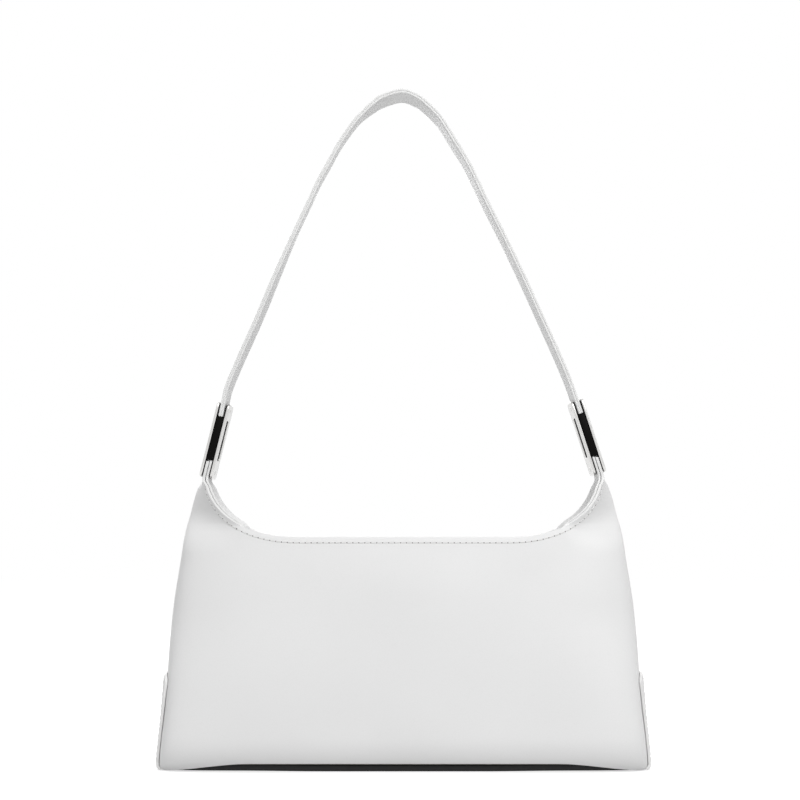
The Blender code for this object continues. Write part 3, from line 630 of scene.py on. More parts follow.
def lacquer_material(name, colour):
    """Black enamel over the link's core, poured smooth, with a little orange peel. Its near-black is
    partly painted shade, for the deep gap between the link plates; on the liners it is painted shade only.
    """
    mix = Recipe(name)
    peel = mix.noise(420.0, 2.0)
    tone = mix.blend(mix.noise(60.0), colour, shade(colour, 1.5))
    return mix.finish(
        Base_Color=tone, Roughness=0.28 + peel * 0.08, Normal=mix.bump(peel, 0.00006, 0.25),
        Specular_IOR_Level=0.05)


def cloth_material(name, colour, threads, twill):
    """Woven cloth from two crossing sets of threads, with a slanting rib where it is a twill, and painted
    shade between the threads.
    """
    mix = Recipe(name)
    spot = mix.where()
    turns = ((0.0, 0.0, 0.0), (0.0, math.radians(90), math.radians(90)))
    sets = []
    for turn in turns:
        turned = mix.node("ShaderNodeMapping", {}, {"Vector": spot, "Rotation": turn})
        values = {"Vector": turned, "Scale": threads, "Distortion": 0.4, "Detail": 1.0}
        sets.append(mix.node("ShaderNodeTexWave", {"bands_direction": "X"}, values, "Fac"))
    slant = mix.node(
        "ShaderNodeTexWave", {"bands_direction": "DIAGONAL"},
        {"Vector": spot, "Scale": threads * 0.5, "Distortion": 0.3}, "Fac")
    weave = (sets[0] * 0.5 + sets[1] * 0.5) * (1 - twill) + slant * twill
    cloud = mix.noise(35.0, 3.0)
    # Painted shade between the threads: the weave's low parts are darker; the cloud is random tone.
    tone = mix.blend((weave * 0.7 + cloud * 0.3).clamped(), shade(colour, 0.82), shade(colour, 1.05))
    return mix.finish(
        Base_Color=tone, Roughness=0.78 + weave * 0.08, Normal=mix.bump(weave, 0.0001, 0.6),
        Sheen_Weight=0.15, Sheen_Roughness=0.5, IOR=1.4)


def board_material(name, colour):
    """Pressed fibre board with flecks."""
    mix = Recipe(name)
    fibre = mix.noise(900.0, 4.0, 0.7, (0.3, 1.0, 0.3))
    fleck = mix.ramp(mix.cells(350.0, "F1"), [(0.1, 1.0), (0.3, 0.0)])
    tone = mix.blend(fibre, shade(colour, 0.85), shade(colour, 1.12))
    tone = mix.blend(fleck * 0.4, tone, shade(colour, 0.5))
    return mix.finish(Base_Color=tone, Roughness=0.82 + fibre * 0.1, Normal=mix.bump(fibre, 0.0001, 0.5))


def make_materials():
    finish = bpy.context.scene.bag_finish
    leather_material("White leather", finish.leather, 0.33, 0.15)
    leather_material("Inner leather", finish.facing, 0.45, 0.05)
    edge_material("Edge paint", finish.edge_paint)
    thread_material("Sewing thread", finish.thread)
    hole_material("Needle hole shade", finish.needle_hole_shade)
    base_material("Base leather in painted shade", finish.base)
    steel_material("Polished steel", finish.steel)
    lacquer_material("Black lacquer", finish.lacquer)
    cloth_material("Ivory twill", finish.lining, 480.0, 0.6)
    cloth_material("Zip tape weave", finish.tape, 620.0, 0.15)
    board_material("Fibre board", finish.board)


SMOOTH_DEG = 40.0


def smooth(mesh):
    mesh.shade_smooth()
    mesh.set_sharp_from_angle(angle=math.radians(SMOOTH_DEG))


def add_piece(name, bm, materials):
    """A finished mesh as an object at the origin, with its materials."""
    mesh = bpy.data.meshes.new(name)
    bm.to_mesh(mesh)
    bm.free()
    made = bpy.data.objects.new(name, mesh)
    bpy.context.scene.collection.objects.link(made)
    for material in materials:
        mesh.materials.append(bpy.data.materials[material])
    smooth(mesh)
    return made


def settle(made):
    """Replaces a piece's mesh by what its modifiers make of it."""
    bpy.context.view_layer.update()
    shown = made.evaluated_get(bpy.context.evaluated_depsgraph_get())
    mesh = bpy.data.meshes.new_from_object(shown)
    made.modifiers.clear()
    made.data = mesh
    smooth(mesh)
    return made


def round_edges(made, rounding, limit_deg=50.0, segments=3):
    """Rounds a piece's sharp edges."""
    bevel = made.modifiers.new("Rounding", "BEVEL")
    bevel.width = rounding
    bevel.segments = segments
    bevel.limit_method = "ANGLE"
    bevel.angle_limit = math.radians(limit_deg)
    bevel.use_clamp_overlap = True
    return settle(made)


def face_out(bm, way_out):
    """Turns the faces of a sheet so that they look along way_out."""
    bm.normal_update()
    if sum(face.normal.dot(way_out(face.calc_center_median())) for face in bm.faces) < 0:
        bmesh.ops.reverse_faces(bm, faces=bm.faces[:])


def from_middle(point):
    return Vector((point.x, point.y * BASE_HALF_WIDTH / BASE_HALF_DEPTH, 0.0))


def upwards(point):
    return Vector((0.0, 0.0, 1.0))


def walled_piece(name, bm, way_out, materials, wall, rounding):
    """A piece from a sheet that looks along way_out: its wall lies on the inner side, with rounded
    edges. A second material goes on the wall's rim."""
    face_out(bm, way_out)
    made = add_piece(name, bm, materials)
    solid = made.modifiers.new("Wall", "SOLIDIFY")
    solid.thickness = wall
    solid.offset = -1.0
    solid.use_even_offset = True
    solid.material_offset_rim = len(materials) - 1
    return round_edges(made, rounding)


def mapped_grid(columns, rows, place):
    """A grid whose corners run from 0 to 1 both ways, moved to where place puts each of them."""
    bm = bmesh.new()
    made = bmesh.ops.create_grid(bm, x_segments=columns, y_segments=rows, size=0.5)
    for vert in made["verts"]:
        vert.co = place(vert.co.x + 0.5, vert.co.y + 0.5)
    return bm


def mirrored(points):
    """A flat line run back on the other side of its second axis."""
    return [Vector((-point.x, point.y)) for point in reversed(points)]


def stay_on_bag(made):
    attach(made, "bag")


def bend_with_neck(made):
    """Bakes the placing of a piece that runs up a horn into its mesh."""
    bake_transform(made)


def stand_for(made, slot, *nodes):
    """Takes the nodes that a piece dresses out of sight. The piece and its finish's slot are not used."""
    if nodes:
        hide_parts(*nodes)


def ride_as(made, body, slot, *nodes):
    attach(made, body)
    stand_for(made, slot, *nodes)


CORNER_COLUMNS = 16
MIDDLE_COLUMNS = 64
BODY_ROWS = 44
ROLL_SHARE = 0.3
HORN_ROWS = 24
MERGE_DISTANCE = 0.00001


def column_turn(index):
    """The turn of a column of a body grid, counted from the +X seam."""
    last = 2 * CORNER_COLUMNS + MIDDLE_COLUMNS
    foot = edge_turn(FOLD_EDGE_Z)
    if index <= CORNER_COLUMNS:
        return foot * index / CORNER_COLUMNS
    if index >= last - CORNER_COLUMNS:
        return math.pi - foot * (last - index) / CORNER_COLUMNS
    share = column_share(foot) * (1 - 2 * (index - CORNER_COLUMNS) / MIDDLE_COLUMNS)
    return math.acos(math.copysign(abs(share) ** (PLAN_POWER / 2), share))


def horn_turn(share, z):
    """The turn of a horn's column. Where the horn is pressed flat, its columns stand evenly across it."""
    edge = edge_turn(z)
    even = math.acos((1 - share * (1 - column_share(edge))) ** (PLAN_POWER / 2))
    pressed = ease((z - FOLD_EDGE_Z) / (FOLD_HIGH_Z - FOLD_EDGE_Z))
    return share * edge + (even - share * edge) * pressed


def horn_spot(face, side, share, z, depth):
    """A point of a horn, from the side seam at share 0 to the mouth's edge at 1. The horn
    flattens into the link."""
    level = min(z, link_foot(side))
    turn = horn_turn(share, level)
    turn = face * (turn if side > 0 else math.pi - turn)
    spot = skin(turn, level)
    spot.z = z
    lean = link_lean(side)
    flat = ease((z - NECK_BLEND_Z) / (link_foot(side) - NECK_BLEND_Z))
    wall = PANEL_WALL + FIT_GAP + FACING_WALL
    strip_x = side * (link_x(side, z) + wall / 2 / math.cos(lean))
    strip = Vector((strip_x, face * share * NECK_HALF_WIDTH, z))
    across = Vector((-side / math.cos(lean), 0.0, 0.0))
    return spot.lerp(strip, flat) + inward(turn, level).lerp(across, flat) * depth


def clear_seam(point, face):
    """Keeps a half's seam edge half a gap off the side seam."""
    point.y = face * max(face * point.y, FIT_GAP / 2)
    return point


def double_grid(bm, columns, rows, place, near, far):
    """A grid at the depth near, whose vertices also keep their places at the depth far."""
    inner = bm.verts.layers.float_vector["inner"]
    for vert in bmesh.ops.create_grid(bm, x_segments=columns, y_segments=rows, size=0.5)["verts"]:
        u, v = vert.co.x + 0.5, vert.co.y + 0.5
        vert.co = place(u, v, near)
        vert[inner] = place(u, v, far)


def close_wall(bm):
    """Makes a wall of a sheet from double_grid, with the second material on its rim."""
    bmesh.ops.remove_doubles(bm, verts=bm.verts[:], dist=MERGE_DISTANCE)
    inner = bm.verts.layers.float_vector["inner"]
    grown = bmesh.ops.extrude_face_region(bm, geom=bm.faces[:])
    moved = {item for item in grown["geom"] if isinstance(item, bmesh.types.BMVert)}
    for vert in moved:
        vert.co = vert[inner]
    for face in bm.faces:
        face.material_index = int(0 < sum(vert in moved for vert in face.verts) < len(face.verts))
    bmesh.ops.recalc_face_normals(bm, faces=bm.faces[:])


ROLL_POWER = 1.5
FACING_LOW_Z = SCOOP_Z - FACING_DROP


def leather_layer(name, face, depth, wall, low, wave, materials):
    """One layer of a side of the bag: the wall's half, and the two horns that run up into the links."""
    bm = bmesh.new()
    bm.verts.layers.float_vector.new("inner")
    last = 2 * CORNER_COLUMNS + MIDDLE_COLUMNS

    def body(u, v, depth):
        turn = column_turn(round(u * last))
        foot = low(turn)
        knee = max(FRONT_ROLL_HEIGHT, foot)
        top = edge_z(turn, FOLD_EDGE_Z)
        if v < ROLL_SHARE and knee > foot:
            z = foot + (knee - foot) * (v / ROLL_SHARE) ** ROLL_POWER
        elif knee > foot:
            z = knee + (top - knee) * (v - ROLL_SHARE) / (1 - ROLL_SHARE)
        else:
            z = foot + (top - foot) * v
        spot = wall_point(face * turn, z, depth)
        spot += face * Vector((0.0, ripple(spot.x, z, wave), 0.0))
        return clear_seam(spot, face)

    double_grid(bm, last, BODY_ROWS, body, depth, depth + wall)
    for side in (-1, 1):
        def horn(u, v, depth):
            z = FOLD_EDGE_Z + (neck_top(side) - FOLD_EDGE_Z) * v
            return clear_seam(horn_spot(face, side, u, z, depth), face)

        double_grid(bm, CORNER_COLUMNS, HORN_ROWS, horn, depth, depth + wall)
    close_wall(bm)
    made = round_edges(add_piece(name, bm, materials), bpy.context.scene.bag_shape.edge_rounding)
    bend_with_neck(made)
    return made


class BAG_OT_panels(Operator):
    """Makes the front and back leather panels, from the arched lower edge up into the links"""
    bl_idname = "bag.panels"
    bl_label = "Outer Panels"

    def execute(self, context):
        wave = context.scene.bag_shape.panel_ripple
        for name, face in FACES:
            leather = leather_layer(
                name + "_panel_leather", face, 0.0, PANEL_WALL, lower_z, wave, LEATHER_AND_EDGE)
            necks = ("left_neck", "right_neck") if name == "front" else ()
            stand_for(leather, "white_leather", name + "_panel", *necks)
        return {"FINISHED"}


class BAG_OT_facings(Operator):
    """Makes the inner layer that doubles the mouth's edge and the necks"""
    bl_idname = "bag.facings"
    bl_label = "Inner Facings"

    def execute(self, context):
        for name, face in FACES:
            leather = leather_layer(
                name + "_facing_leather", face, PANEL_WALL + FIT_GAP, FACING_WALL,
                lambda turn: FACING_LOW_Z, 0.0, INNER_AND_EDGE)
            stand_for(leather, "inner_leather", name + "_facing")
        return {"FINISHED"}


def along_line(points, pitch):
    """Points a pitch apart along a line, centred on its length."""
    lengths = [(b - a).length for a, b in zip(points, points[1:])]
    whole = sum(lengths)
    count = int(whole / pitch)
    spare = (whole - count * pitch) / 2
    spots = []
    for i in range(count + 1):
        left = spare + i * pitch
        for start, end, length in zip(points, points[1:], lengths):
            if left <= length:
                break
            left -= length
        spots.append(start.lerp(end, min(left / length, 1.0)))
    return spots


def shifted(points, distance):
    """A flat line moved to the left of its direction, by a distance that follows from each point."""
    moved = []
    for i, point in enumerate(points):
        along = (points[min(i + 1, len(points) - 1)] - points[max(i - 1, 0)]).normalized()
        moved.append(point + Vector((-along.y, along.x)) * distance(point))
    return moved


HORN_INSET_SHARE = 0.22
STITCH_TOP_Z = 0.1573
THREAD_LIFT = 0.35
STITCH_HALF_SHARE = 0.44
STITCH_SLANT_DEG = 5
HOLE_SHARE = 1.35
HOLE_DEPTH_SHARE = 0.3


def mouth_line(inset):
    """The mouth's edge as width and height, from horn to horn, moved down into the leather by inset.
    Seen from the front, the horns turn away, so the inset shrinks to HORN_INSET_SHARE at their tips."""
    count = 60
    rise = STITCH_TOP_Z - SCOOP_Z
    half = []
    for i in range(count + 1):
        z = SCOOP_Z + rise * (i / count) ** 2
        half.append(Vector((mouth_half_width(z), z)))
    shrink = (1 - HORN_INSET_SHARE) / rise
    return shifted(mirrored(half) + half, lambda point: -inset * (1 - shrink * (point.y - SCOOP_Z)))


def add_bead(bm, middle, turned, size, poles=Matrix()):
    """A ball stretched to size along its own axes, for a stitch or a needle hole."""
    place = Matrix.Translation(middle) @ turned @ Matrix.Diagonal((*size, 1.0)) @ poles
    bmesh.ops.create_uvsphere(bm, u_segments=8, v_segments=6, radius=1.0, matrix=place)


def sew(name, holes, follow):
    """Stitches from hole to hole, given as pairs of a spot and the way out of the leather there."""
    radius = bpy.context.scene.bag_shape.thread_radius
    threads, needle = bmesh.new(), bmesh.new()
    slant = Matrix.Rotation(math.radians(STITCH_SLANT_DEG), 4, "Z")
    lying = Matrix.Rotation(QUARTER_TURN, 4, "Y")
    for (start, out), (end, end_out) in zip(holes, holes[1:]):
        along = (end - start).normalized()
        middle_out = (out + end_out).normalized()
        middle = (start + end) / 2 + middle_out * radius * THREAD_LIFT
        across = middle_out.cross(along).normalized()
        turned = Matrix((along, across, middle_out)).transposed().to_4x4() @ slant
        size = ((end - start).length * STITCH_HALF_SHARE, radius, radius)
        add_bead(threads, middle, turned, size, lying)
    # Each needle hole is a flat dark bead: painted shade in the hole.
    reach = radius * HOLE_SHARE
    for spot, out in holes:
        turned = out.to_track_quat("Z", "Y").to_matrix().to_4x4()
        add_bead(needle, spot, turned, (reach, reach, radius * HOLE_DEPTH_SHARE))
    parts = (("_stitches", threads, "Sewing thread"), ("_needle_holes", needle, "Needle hole shade"))
    for part, bm, material in parts:
        made = add_piece(name + part, bm, (material,))
        follow(made)
        stand_for(made, "white_leather")


class BAG_OT_mouth_stitching(Operator):
    """Sews the two layers together along the mouth and up the horns, in front and behind"""
    bl_idname = "bag.mouth_stitching"
    bl_label = "Mouth Stitching"

    def execute(self, context):
        shape = context.scene.bag_shape
        line = along_line(mouth_line(shape.stitch_inset), shape.stitch_pitch)
        for name, face in FACES:
            holes = [wall_spot(turn_at(spot.x, spot.y, face), spot.y) for spot in line]
            sew(name + "_mouth", holes, bend_with_neck)
        return {"FINISHED"}


PATCH_CORNER_Z = PATCH_TOP_Z - PATCH_CORNER
PATCH_ROLL_SHARE = 0.25
PATCH_CORNER_SHARE = 0.75
PATCH_STITCH_SHARE = 0.75


def patch_half(z, inset=0.0):
    """Half the width of an end patch at a height, inside a line that keeps this far from its edge."""
    corner = PATCH_CORNER - inset
    reach = PATCH_FOOT_HALF + (PATCH_TOP_HALF - PATCH_FOOT_HALF) * z / PATCH_TOP_Z - inset
    above = z - PATCH_CORNER_Z
    if above > 0:
        reach -= corner - math.sqrt(max(corner ** 2 - above ** 2, 0.0))
    return reach


def patch_level(v):
    """The height of a row of an end patch. The rows crowd at the foot and round the top corners."""
    if v < PATCH_ROLL_SHARE:
        return FRONT_ROLL_HEIGHT * (v / PATCH_ROLL_SHARE) ** ROLL_POWER
    if v < PATCH_CORNER_SHARE:
        run = (v - PATCH_ROLL_SHARE) / (PATCH_CORNER_SHARE - PATCH_ROLL_SHARE)
        return FRONT_ROLL_HEIGHT + (PATCH_CORNER_Z - FRONT_ROLL_HEIGHT) * run
    turn = math.pi / 2 * (v - PATCH_CORNER_SHARE) / (1 - PATCH_CORNER_SHARE)
    return PATCH_CORNER_Z + PATCH_CORNER * math.sin(turn)


def patch_spot(side, y, z):
    """A point of an end patch's outer face and the way out of it."""
    power = plan_power(z)
    share = (1 - (abs(y) / half_depth(z)) ** power) ** (1 / power)
    turn = math.acos(share ** (PLAN_POWER / 2))
    turn = math.copysign(turn if side > 0 else math.pi - turn, y)
    spot, out = wall_spot(turn, z)
    out = Vector((out.x, out.y, 0.0)).normalized()
    return spot + out * (PATCH_GAP + PATCH_WALL), out


def patch_line(inset):
    """The line of a patch's stitching, as y and z: up one side, over the top and down the other."""
    rise = []
    for row in range(3, 40):
        level = row / 40 * PATCH_CORNER_Z
        rise.append(Vector((patch_half(level, inset), level)))
    centre = PATCH_TOP_HALF - PATCH_CORNER
    reach = PATCH_CORNER - inset
    for step in range(13):
        turn = math.pi / 2 * step / 12
        rise.append(Vector((centre + reach * math.cos(turn), PATCH_CORNER_Z + reach * math.sin(turn))))
    return rise + mirrored(rise)


class BAG_OT_end_patches(Operator):
    """Makes the two patches over the side seams at the bottom corners, and sews them on"""
    bl_idname = "bag.end_patches"
    bl_label = "End Patches"

    def execute(self, context):
        shape = context.scene.bag_shape
        line = along_line(patch_line(shape.stitch_inset * PATCH_STITCH_SHARE), shape.stitch_pitch)
        for name, side in SIDES:
            def place(u, v):
                level = patch_level(v)
                return patch_spot(side, (2 * u - 1) * patch_half(level), level)[0]

            patch = walled_piece(
                name + "_end_patch_leather", mapped_grid(24, 40, place), from_middle, LEATHER_AND_EDGE,
                PATCH_WALL, shape.edge_rounding)
            ride_as(patch, "bag", "white_leather", name + "_end_patch")
            holes = [patch_spot(side, spot.x, spot.y) for spot in line]
            sew(name + "_end_patch", holes, stay_on_bag)
        return {"FINISHED"}


BASE_ROUNDING_SHARE = 1.4


def base_sag(x):
    """How far the base hangs below its seat: down to the floor in its middle."""
    return BASE_UNDERSIDE_Z * (1 - ease((abs(x) - BASE_FLAT_HALF) / BASE_SAG_SPAN))


class BAG_OT_base(Operator):
    """Makes the base, set back under the arched lower edge and coloured near-black as painted shade for
    the shadow there
    """
    bl_idname = "bag.base"
    bl_label = "Base Panel"

    def execute(self, context):
        inset = PANEL_WALL + BASE_EDGE_CLEARANCE
        a, b = half_width(0.0) - inset, half_depth(0.0) - inset

        def place(u, v):
            s, t = 2 * u - 1, 2 * v - 1
            x = a * s * (1 - abs(t) ** FOOT_POWER / 2) ** (1 / FOOT_POWER)
            y = b * t * (1 - abs(s) ** FOOT_POWER / 2) ** (1 / FOOT_POWER)
            return Vector((x, y, BASE_UNDERSIDE_Z + BASE_WALL - base_sag(x)))

        # The base is black as painted shade, for the shadow under the arched lower edge.
        base = walled_piece(
            "base_leather", mapped_grid(72, 20, place), upwards, ("Base leather in painted shade",), BASE_WALL,
            context.scene.bag_shape.edge_rounding * BASE_ROUNDING_SHARE)
        ride_as(base, "bag", "black_base", "base_panel")
        return {"FINISHED"}


def strap_leg(side, shares):
    """The centre line of one leg of the strap, from inside its link upwards, as x and z."""
    lean = link_lean(side)
    foot_z = link_foot(side) + LINK_LENGTH * math.cos(lean)
    tail_z = foot_z - STRAP_TUCK * math.cos(lean)
    foot_x = link_x(side, foot_z)
    knots = [(foot_x * x, foot_z + (STRAP_TOP_Z - foot_z) * share) for x, share in shares]
    return [Vector((side * x, z)) for x, z in [(link_x(side, tail_z), tail_z)] + knots]


def strap_route():
    """Evenly spaced points of a smooth curve from link to link, each with the way out of the strap."""
    top = [Vector((-STRAP_SWAY, STRAP_TOP_Z))]
    knots = strap_leg(-1, LEFT_LEG_SHARES) + top + strap_leg(1, RIGHT_LEG_SHARES)[::-1]
    last = len(knots) - 1
    fine = []
    for i in range(last):
        before, here = knots[max(i - 1, 0)], knots[i]
        there, after = knots[i + 1], knots[min(i + 2, last)]
        for t in (step / 8 for step in range(8)):
            if i in (0, last - 1):
                fine.append(here.lerp(there, t))
            else:
                fine.append(smooth_between(here, there, (there - before) / 2, (after - here) / 2, t))
    fine.append(knots[-1])
    whole = sum((b - a).length for a, b in zip(fine, fine[1:]))
    spots = along_line(fine, whole / STRAP_STEPS * HAIR_SHORT)
    spots[0], spots[-1] = fine[0], fine[-1]
    route = []
    for i, spot in enumerate(spots):
        along = spots[min(i + 1, len(spots) - 1)] - spots[max(i - 1, 0)]
        route.append((spot, Vector((-along.y, along.x)).normalized()))
    return route


class BAG_OT_strap(Operator):
    """Makes the two leather layers of the strap, whose ends go in between the link plates"""
    bl_idname = "bag.strap"
    bl_label = "Strap"

    def execute(self, context):
        shape = context.scene.bag_shape
        route = strap_route()
        last = len(route) - 1
        for name, way, materials, slot in (
                ("strap_outer", 1, LEATHER_AND_EDGE, "white_leather"),
                ("strap_lining", -1, INNER_AND_EDGE, "inner_leather")):
            def place(u, v):
                spot, out = route[round(u * last)]
                across = 2 * v - 1
                twist = 0.0
                if spot.x < 0:
                    twist = shape.leg_twist * ease((spot.y - TWIST_LOW_Z) / TWIST_RISE)
                    twist *= ease((TWIST_HIGH_Z - spot.y) / TWIST_FADE)
                far = way * (STRAP_SEAM + STRAP_LAYER - STRAP_CROWN * across ** 4)
                at = spot + out * (far + twist * (across + 1) / 2)
                return Vector((at.x, across * STRAP_HALF_WIDTH, at.y))

            strap = walled_piece(
                name + "_leather", mapped_grid(last, shape.strap_columns, place),
                lambda point: way * Vector((point.x, 0.0, point.z - STRAP_EYE_Z)), materials,
                STRAP_LAYER, shape.edge_rounding)
            ride_as(strap, "handle", slot, name)
        return {"FINISHED"}


def link_frame(side):
    """Local X runs across the link, local Y up it and local Z away from the bag, from its foot."""
    across = Vector((0, side, 0))
    up = Vector((-side * math.sin(link_lean(side)), 0, math.cos(link_lean(side))))
    made = Matrix((across, up, across.cross(up))).transposed().to_4x4()
    foot_z = link_foot(side)
    made.translation = Vector((side * link_x(side, foot_z), 0, foot_z))
    return made


def round_corners(bm, half, low, high, radius, segments=6):
    """Bevels the four upright edges that stand at the corners of a rectangle."""
    corners = [
        edge for edge in bm.edges
        if abs(edge.verts[0].co.z - edge.verts[1].co.z) > MERGE_DISTANCE
        and abs(abs(edge.verts[0].co.x) - half) < MERGE_DISTANCE
        and min(abs(edge.verts[0].co.y - low), abs(edge.verts[0].co.y - high)) < MERGE_DISTANCE]
    bmesh.ops.bevel(
        bm, geom=corners, offset=radius, segments=segments, profile=0.5, affect="EDGES", material=-1)


def thicken(bm, height):
    """Makes a flat sheet a closed plate of this height."""
    grown = bmesh.ops.extrude_face_region(bm, geom=bm.faces[:])
    raised = [item for item in grown["geom"] if isinstance(item, bmesh.types.BMVert)]
    bmesh.ops.translate(bm, verts=raised, vec=(0, 0, height))
    bmesh.ops.recalc_face_normals(bm, faces=bm.faces[:])


def framed_plate(low):
    """A plate with a window, its outline's and its window's corners rounded."""
    xs = (-LINK_HALF_WIDTH, -WINDOW_HALF_WIDTH, WINDOW_HALF_WIDTH, LINK_HALF_WIDTH)
    ys = (0.0, WINDOW_LOW, WINDOW_HIGH, LINK_LENGTH)
    bm = mapped_grid(3, 3, lambda u, v: Vector((xs[round(3 * u)], ys[round(3 * v)], low)))
    centre = Vector((0, (WINDOW_LOW + WINDOW_HIGH) / 2, low))
    middle = min(bm.faces, key=lambda face: (face.calc_center_median() - centre).length)
    bmesh.ops.delete(bm, geom=[middle], context="FACES")
    thicken(bm, PLATE_WALL)
    round_corners(bm, LINK_HALF_WIDTH, 0.0, LINK_LENGTH, PLATE_CORNER)
    round_corners(bm, WINDOW_HALF_WIDTH, WINDOW_LOW, WINDOW_HIGH, WINDOW_CORNER, 5)
    return bm


def add_box(bm, low, high):
    """A box between two corners."""
    made = bmesh.ops.create_cube(bm, size=1.0)
    bmesh.ops.scale(bm, verts=made["verts"], vec=Vector(high) - Vector(low))
    bmesh.ops.translate(bm, verts=made["verts"], vec=(Vector(high) + Vector(low)) / 2)


def add_rod(bm, radius, length, sides, place):
    bmesh.ops.create_cone(
        bm, cap_ends=True, segments=sides, radius1=radius, radius2=radius, depth=length, matrix=place)


def take_in(bm, part):
    """Moves the whole of another mesh into this one."""
    mesh = bpy.data.meshes.new("part")
    part.to_mesh(mesh)
    part.free()
    bm.from_mesh(mesh)
    bpy.data.meshes.remove(mesh)


def add_plate(bm, low, high, rounded_from, radius):
    """A box turned to lie along X, its corners rounded at its far end and at rounded_from."""
    plate = bmesh.new()
    add_box(plate, low, high)
    round_corners(plate, high[0], rounded_from, high[1], radius)
    bmesh.ops.rotate(plate, verts=plate.verts[:], matrix=Matrix.Rotation(QUARTER_TURN, 3, "Z"))
    take_in(bm, plate)


def rounded_piece(name, bm, material, rounding, place, segments=3):
    """Finishes a hard piece: its sharp edges rounded, and moved to its place."""
    bmesh.ops.transform(bm, matrix=place, verts=bm.verts[:])
    return round_edges(add_piece(name, bm, (material,)), rounding, 40.0, segments)


def steel_piece(node, body, bm, rounding, place, segments=3):
    """A piece of polished steel that dresses the node it is named for."""
    made = rounded_piece(node + "_steel", bm, "Polished steel", rounding, place, segments)
    ride_as(made, body, "polished_steel", node)


class BAG_OT_links(Operator):
    """Makes the two links: an outer and an inner plate, a black core between them and two rivets"""
    bl_idname = "bag.links"
    bl_label = "Links"

    def execute(self, context):
        rounding = context.scene.bag_shape.plate_rounding
        top = PLATE_INNER + PLATE_WALL
        reach = PLATE_INNER - FIT_GAP
        for name, side in SIDES:
            link = name + "_link_"
            place = link_frame(side)
            for plate, low in (("outer_plate", PLATE_INNER), ("inner_plate", -top)):
                steel_piece(link + plate, "handle", framed_plate(low), rounding, place, 4)
            # The core's black is partly its own lacquer and partly painted shade deep between the plates.
            bm = bmesh.new()
            add_box(bm, (-LINK_HALF_WIDTH, CORE_LOW, -reach), (LINK_HALF_WIDTH, CORE_HIGH, reach))
            core = rounded_piece(link + "core_lacquer", bm, "Black lacquer", rounding, place)
            ride_as(core, "handle", "black_lacquer", link + "core")
            # The liners are thin black plates that paint the shade in the gaps between the link plates and
            # the leather.
            bm = bmesh.new()
            for near, far in ((LINER_LOW, LINER_HIGH), (-LINER_HIGH, -LINER_LOW)):
                add_box(bm, (LINER_INSET - LINK_HALF_WIDTH, LINER_INSET, near),
                        (LINK_HALF_WIDTH - LINER_INSET, LINK_LENGTH - LINER_INSET, far))
            liners = rounded_piece(link + "liners_lacquer", bm, "Black lacquer", LINER_ROUNDING, place)
            ride_as(liners, "handle", "black_lacquer")
            for rivet, y in (("lower_rivet", RIVET_INSET), ("upper_rivet", LINK_LENGTH - RIVET_INSET)):
                bm = bmesh.new()
                add_rod(bm, RIVET_RADIUS, 2 * top + rounding, 28, Matrix.Translation((0, y, 0)))
                steel_piece(link + rivet, "handle", bm, rounding, place)
        return {"FINISHED"}


class BAG_OT_lining(Operator):
    """Makes the cloth cup inside the bag and the slip pocket on its back wall"""
    bl_idname = "bag.lining"
    bl_label = "Lining And Pocket"

    def execute(self, context):
        floor_z = BASE_UNDERSIDE_Z + BASE_WALL + BOARD_WALL + 2 * FIT_GAP
        high_z = FACING_LOW_Z + LINING_LAP
        depth = PANEL_WALL + FACING_WALL + 2.5 * FIT_GAP

        def wall(u, v):
            turn = math.tau * u
            folds = 1 + math.sin(23 * turn + 9 * v) * math.sin(5 * turn)
            crease = LINING_CREASE * ease(6 * v) * ease(6 - 6 * v) * folds
            return wall_point(turn, floor_z + (high_z - floor_z) * v, depth + crease, flat=True)

        bm = mapped_grid(144, 24, wall)
        bmesh.ops.remove_doubles(bm, verts=bm.verts[:], dist=MERGE_DISTANCE)
        foot = floor_z + MERGE_DISTANCE
        rim = [edge for edge in bm.edges if edge.is_boundary and edge.verts[0].co.z < foot]
        bmesh.ops.edgeloop_fill(bm, edges=rim)
        bmesh.ops.recalc_face_normals(bm, faces=bm.faces[:])
        lining = walled_piece(
            "lining_cloth", bm, from_middle, ("Ivory twill",), LINING_WALL, LINING_WALL / 4)
        ride_as(lining, "bag", "lining_cloth", "lining")
        pocket_depth = depth + LINING_WALL + FIT_GAP + POCKET_SLACK

        def pocket(u, v):
            z = POCKET_LOW_Z + (POCKET_HIGH_Z - POCKET_LOW_Z) * v
            hem = POCKET_HEM if v > POCKET_HEM_FROM else 0.0
            turn = turn_at((2 * u - 1) * POCKET_HALF_WIDTH, z, 1)
            return wall_point(turn, z, pocket_depth + hem, flat=True)

        made = walled_piece(
            "slip_pocket_cloth", mapped_grid(40, 24, pocket), from_middle, ("Ivory twill",),
            POCKET_WALL, POCKET_WALL / 4)
        ride_as(made, "bag", "lining_cloth", "slip_pocket")
        return {"FINISHED"}


def zip_edge_y(x):
    """How far from the middle the zip's tape may reach towards a facing."""
    reach = plan_y(min(abs(x) / half_width(ZIP_Z), 1.0), ZIP_Z - TAPE_WALL)
    return reach - PANEL_WALL - FACING_WALL - 3 * FIT_GAP


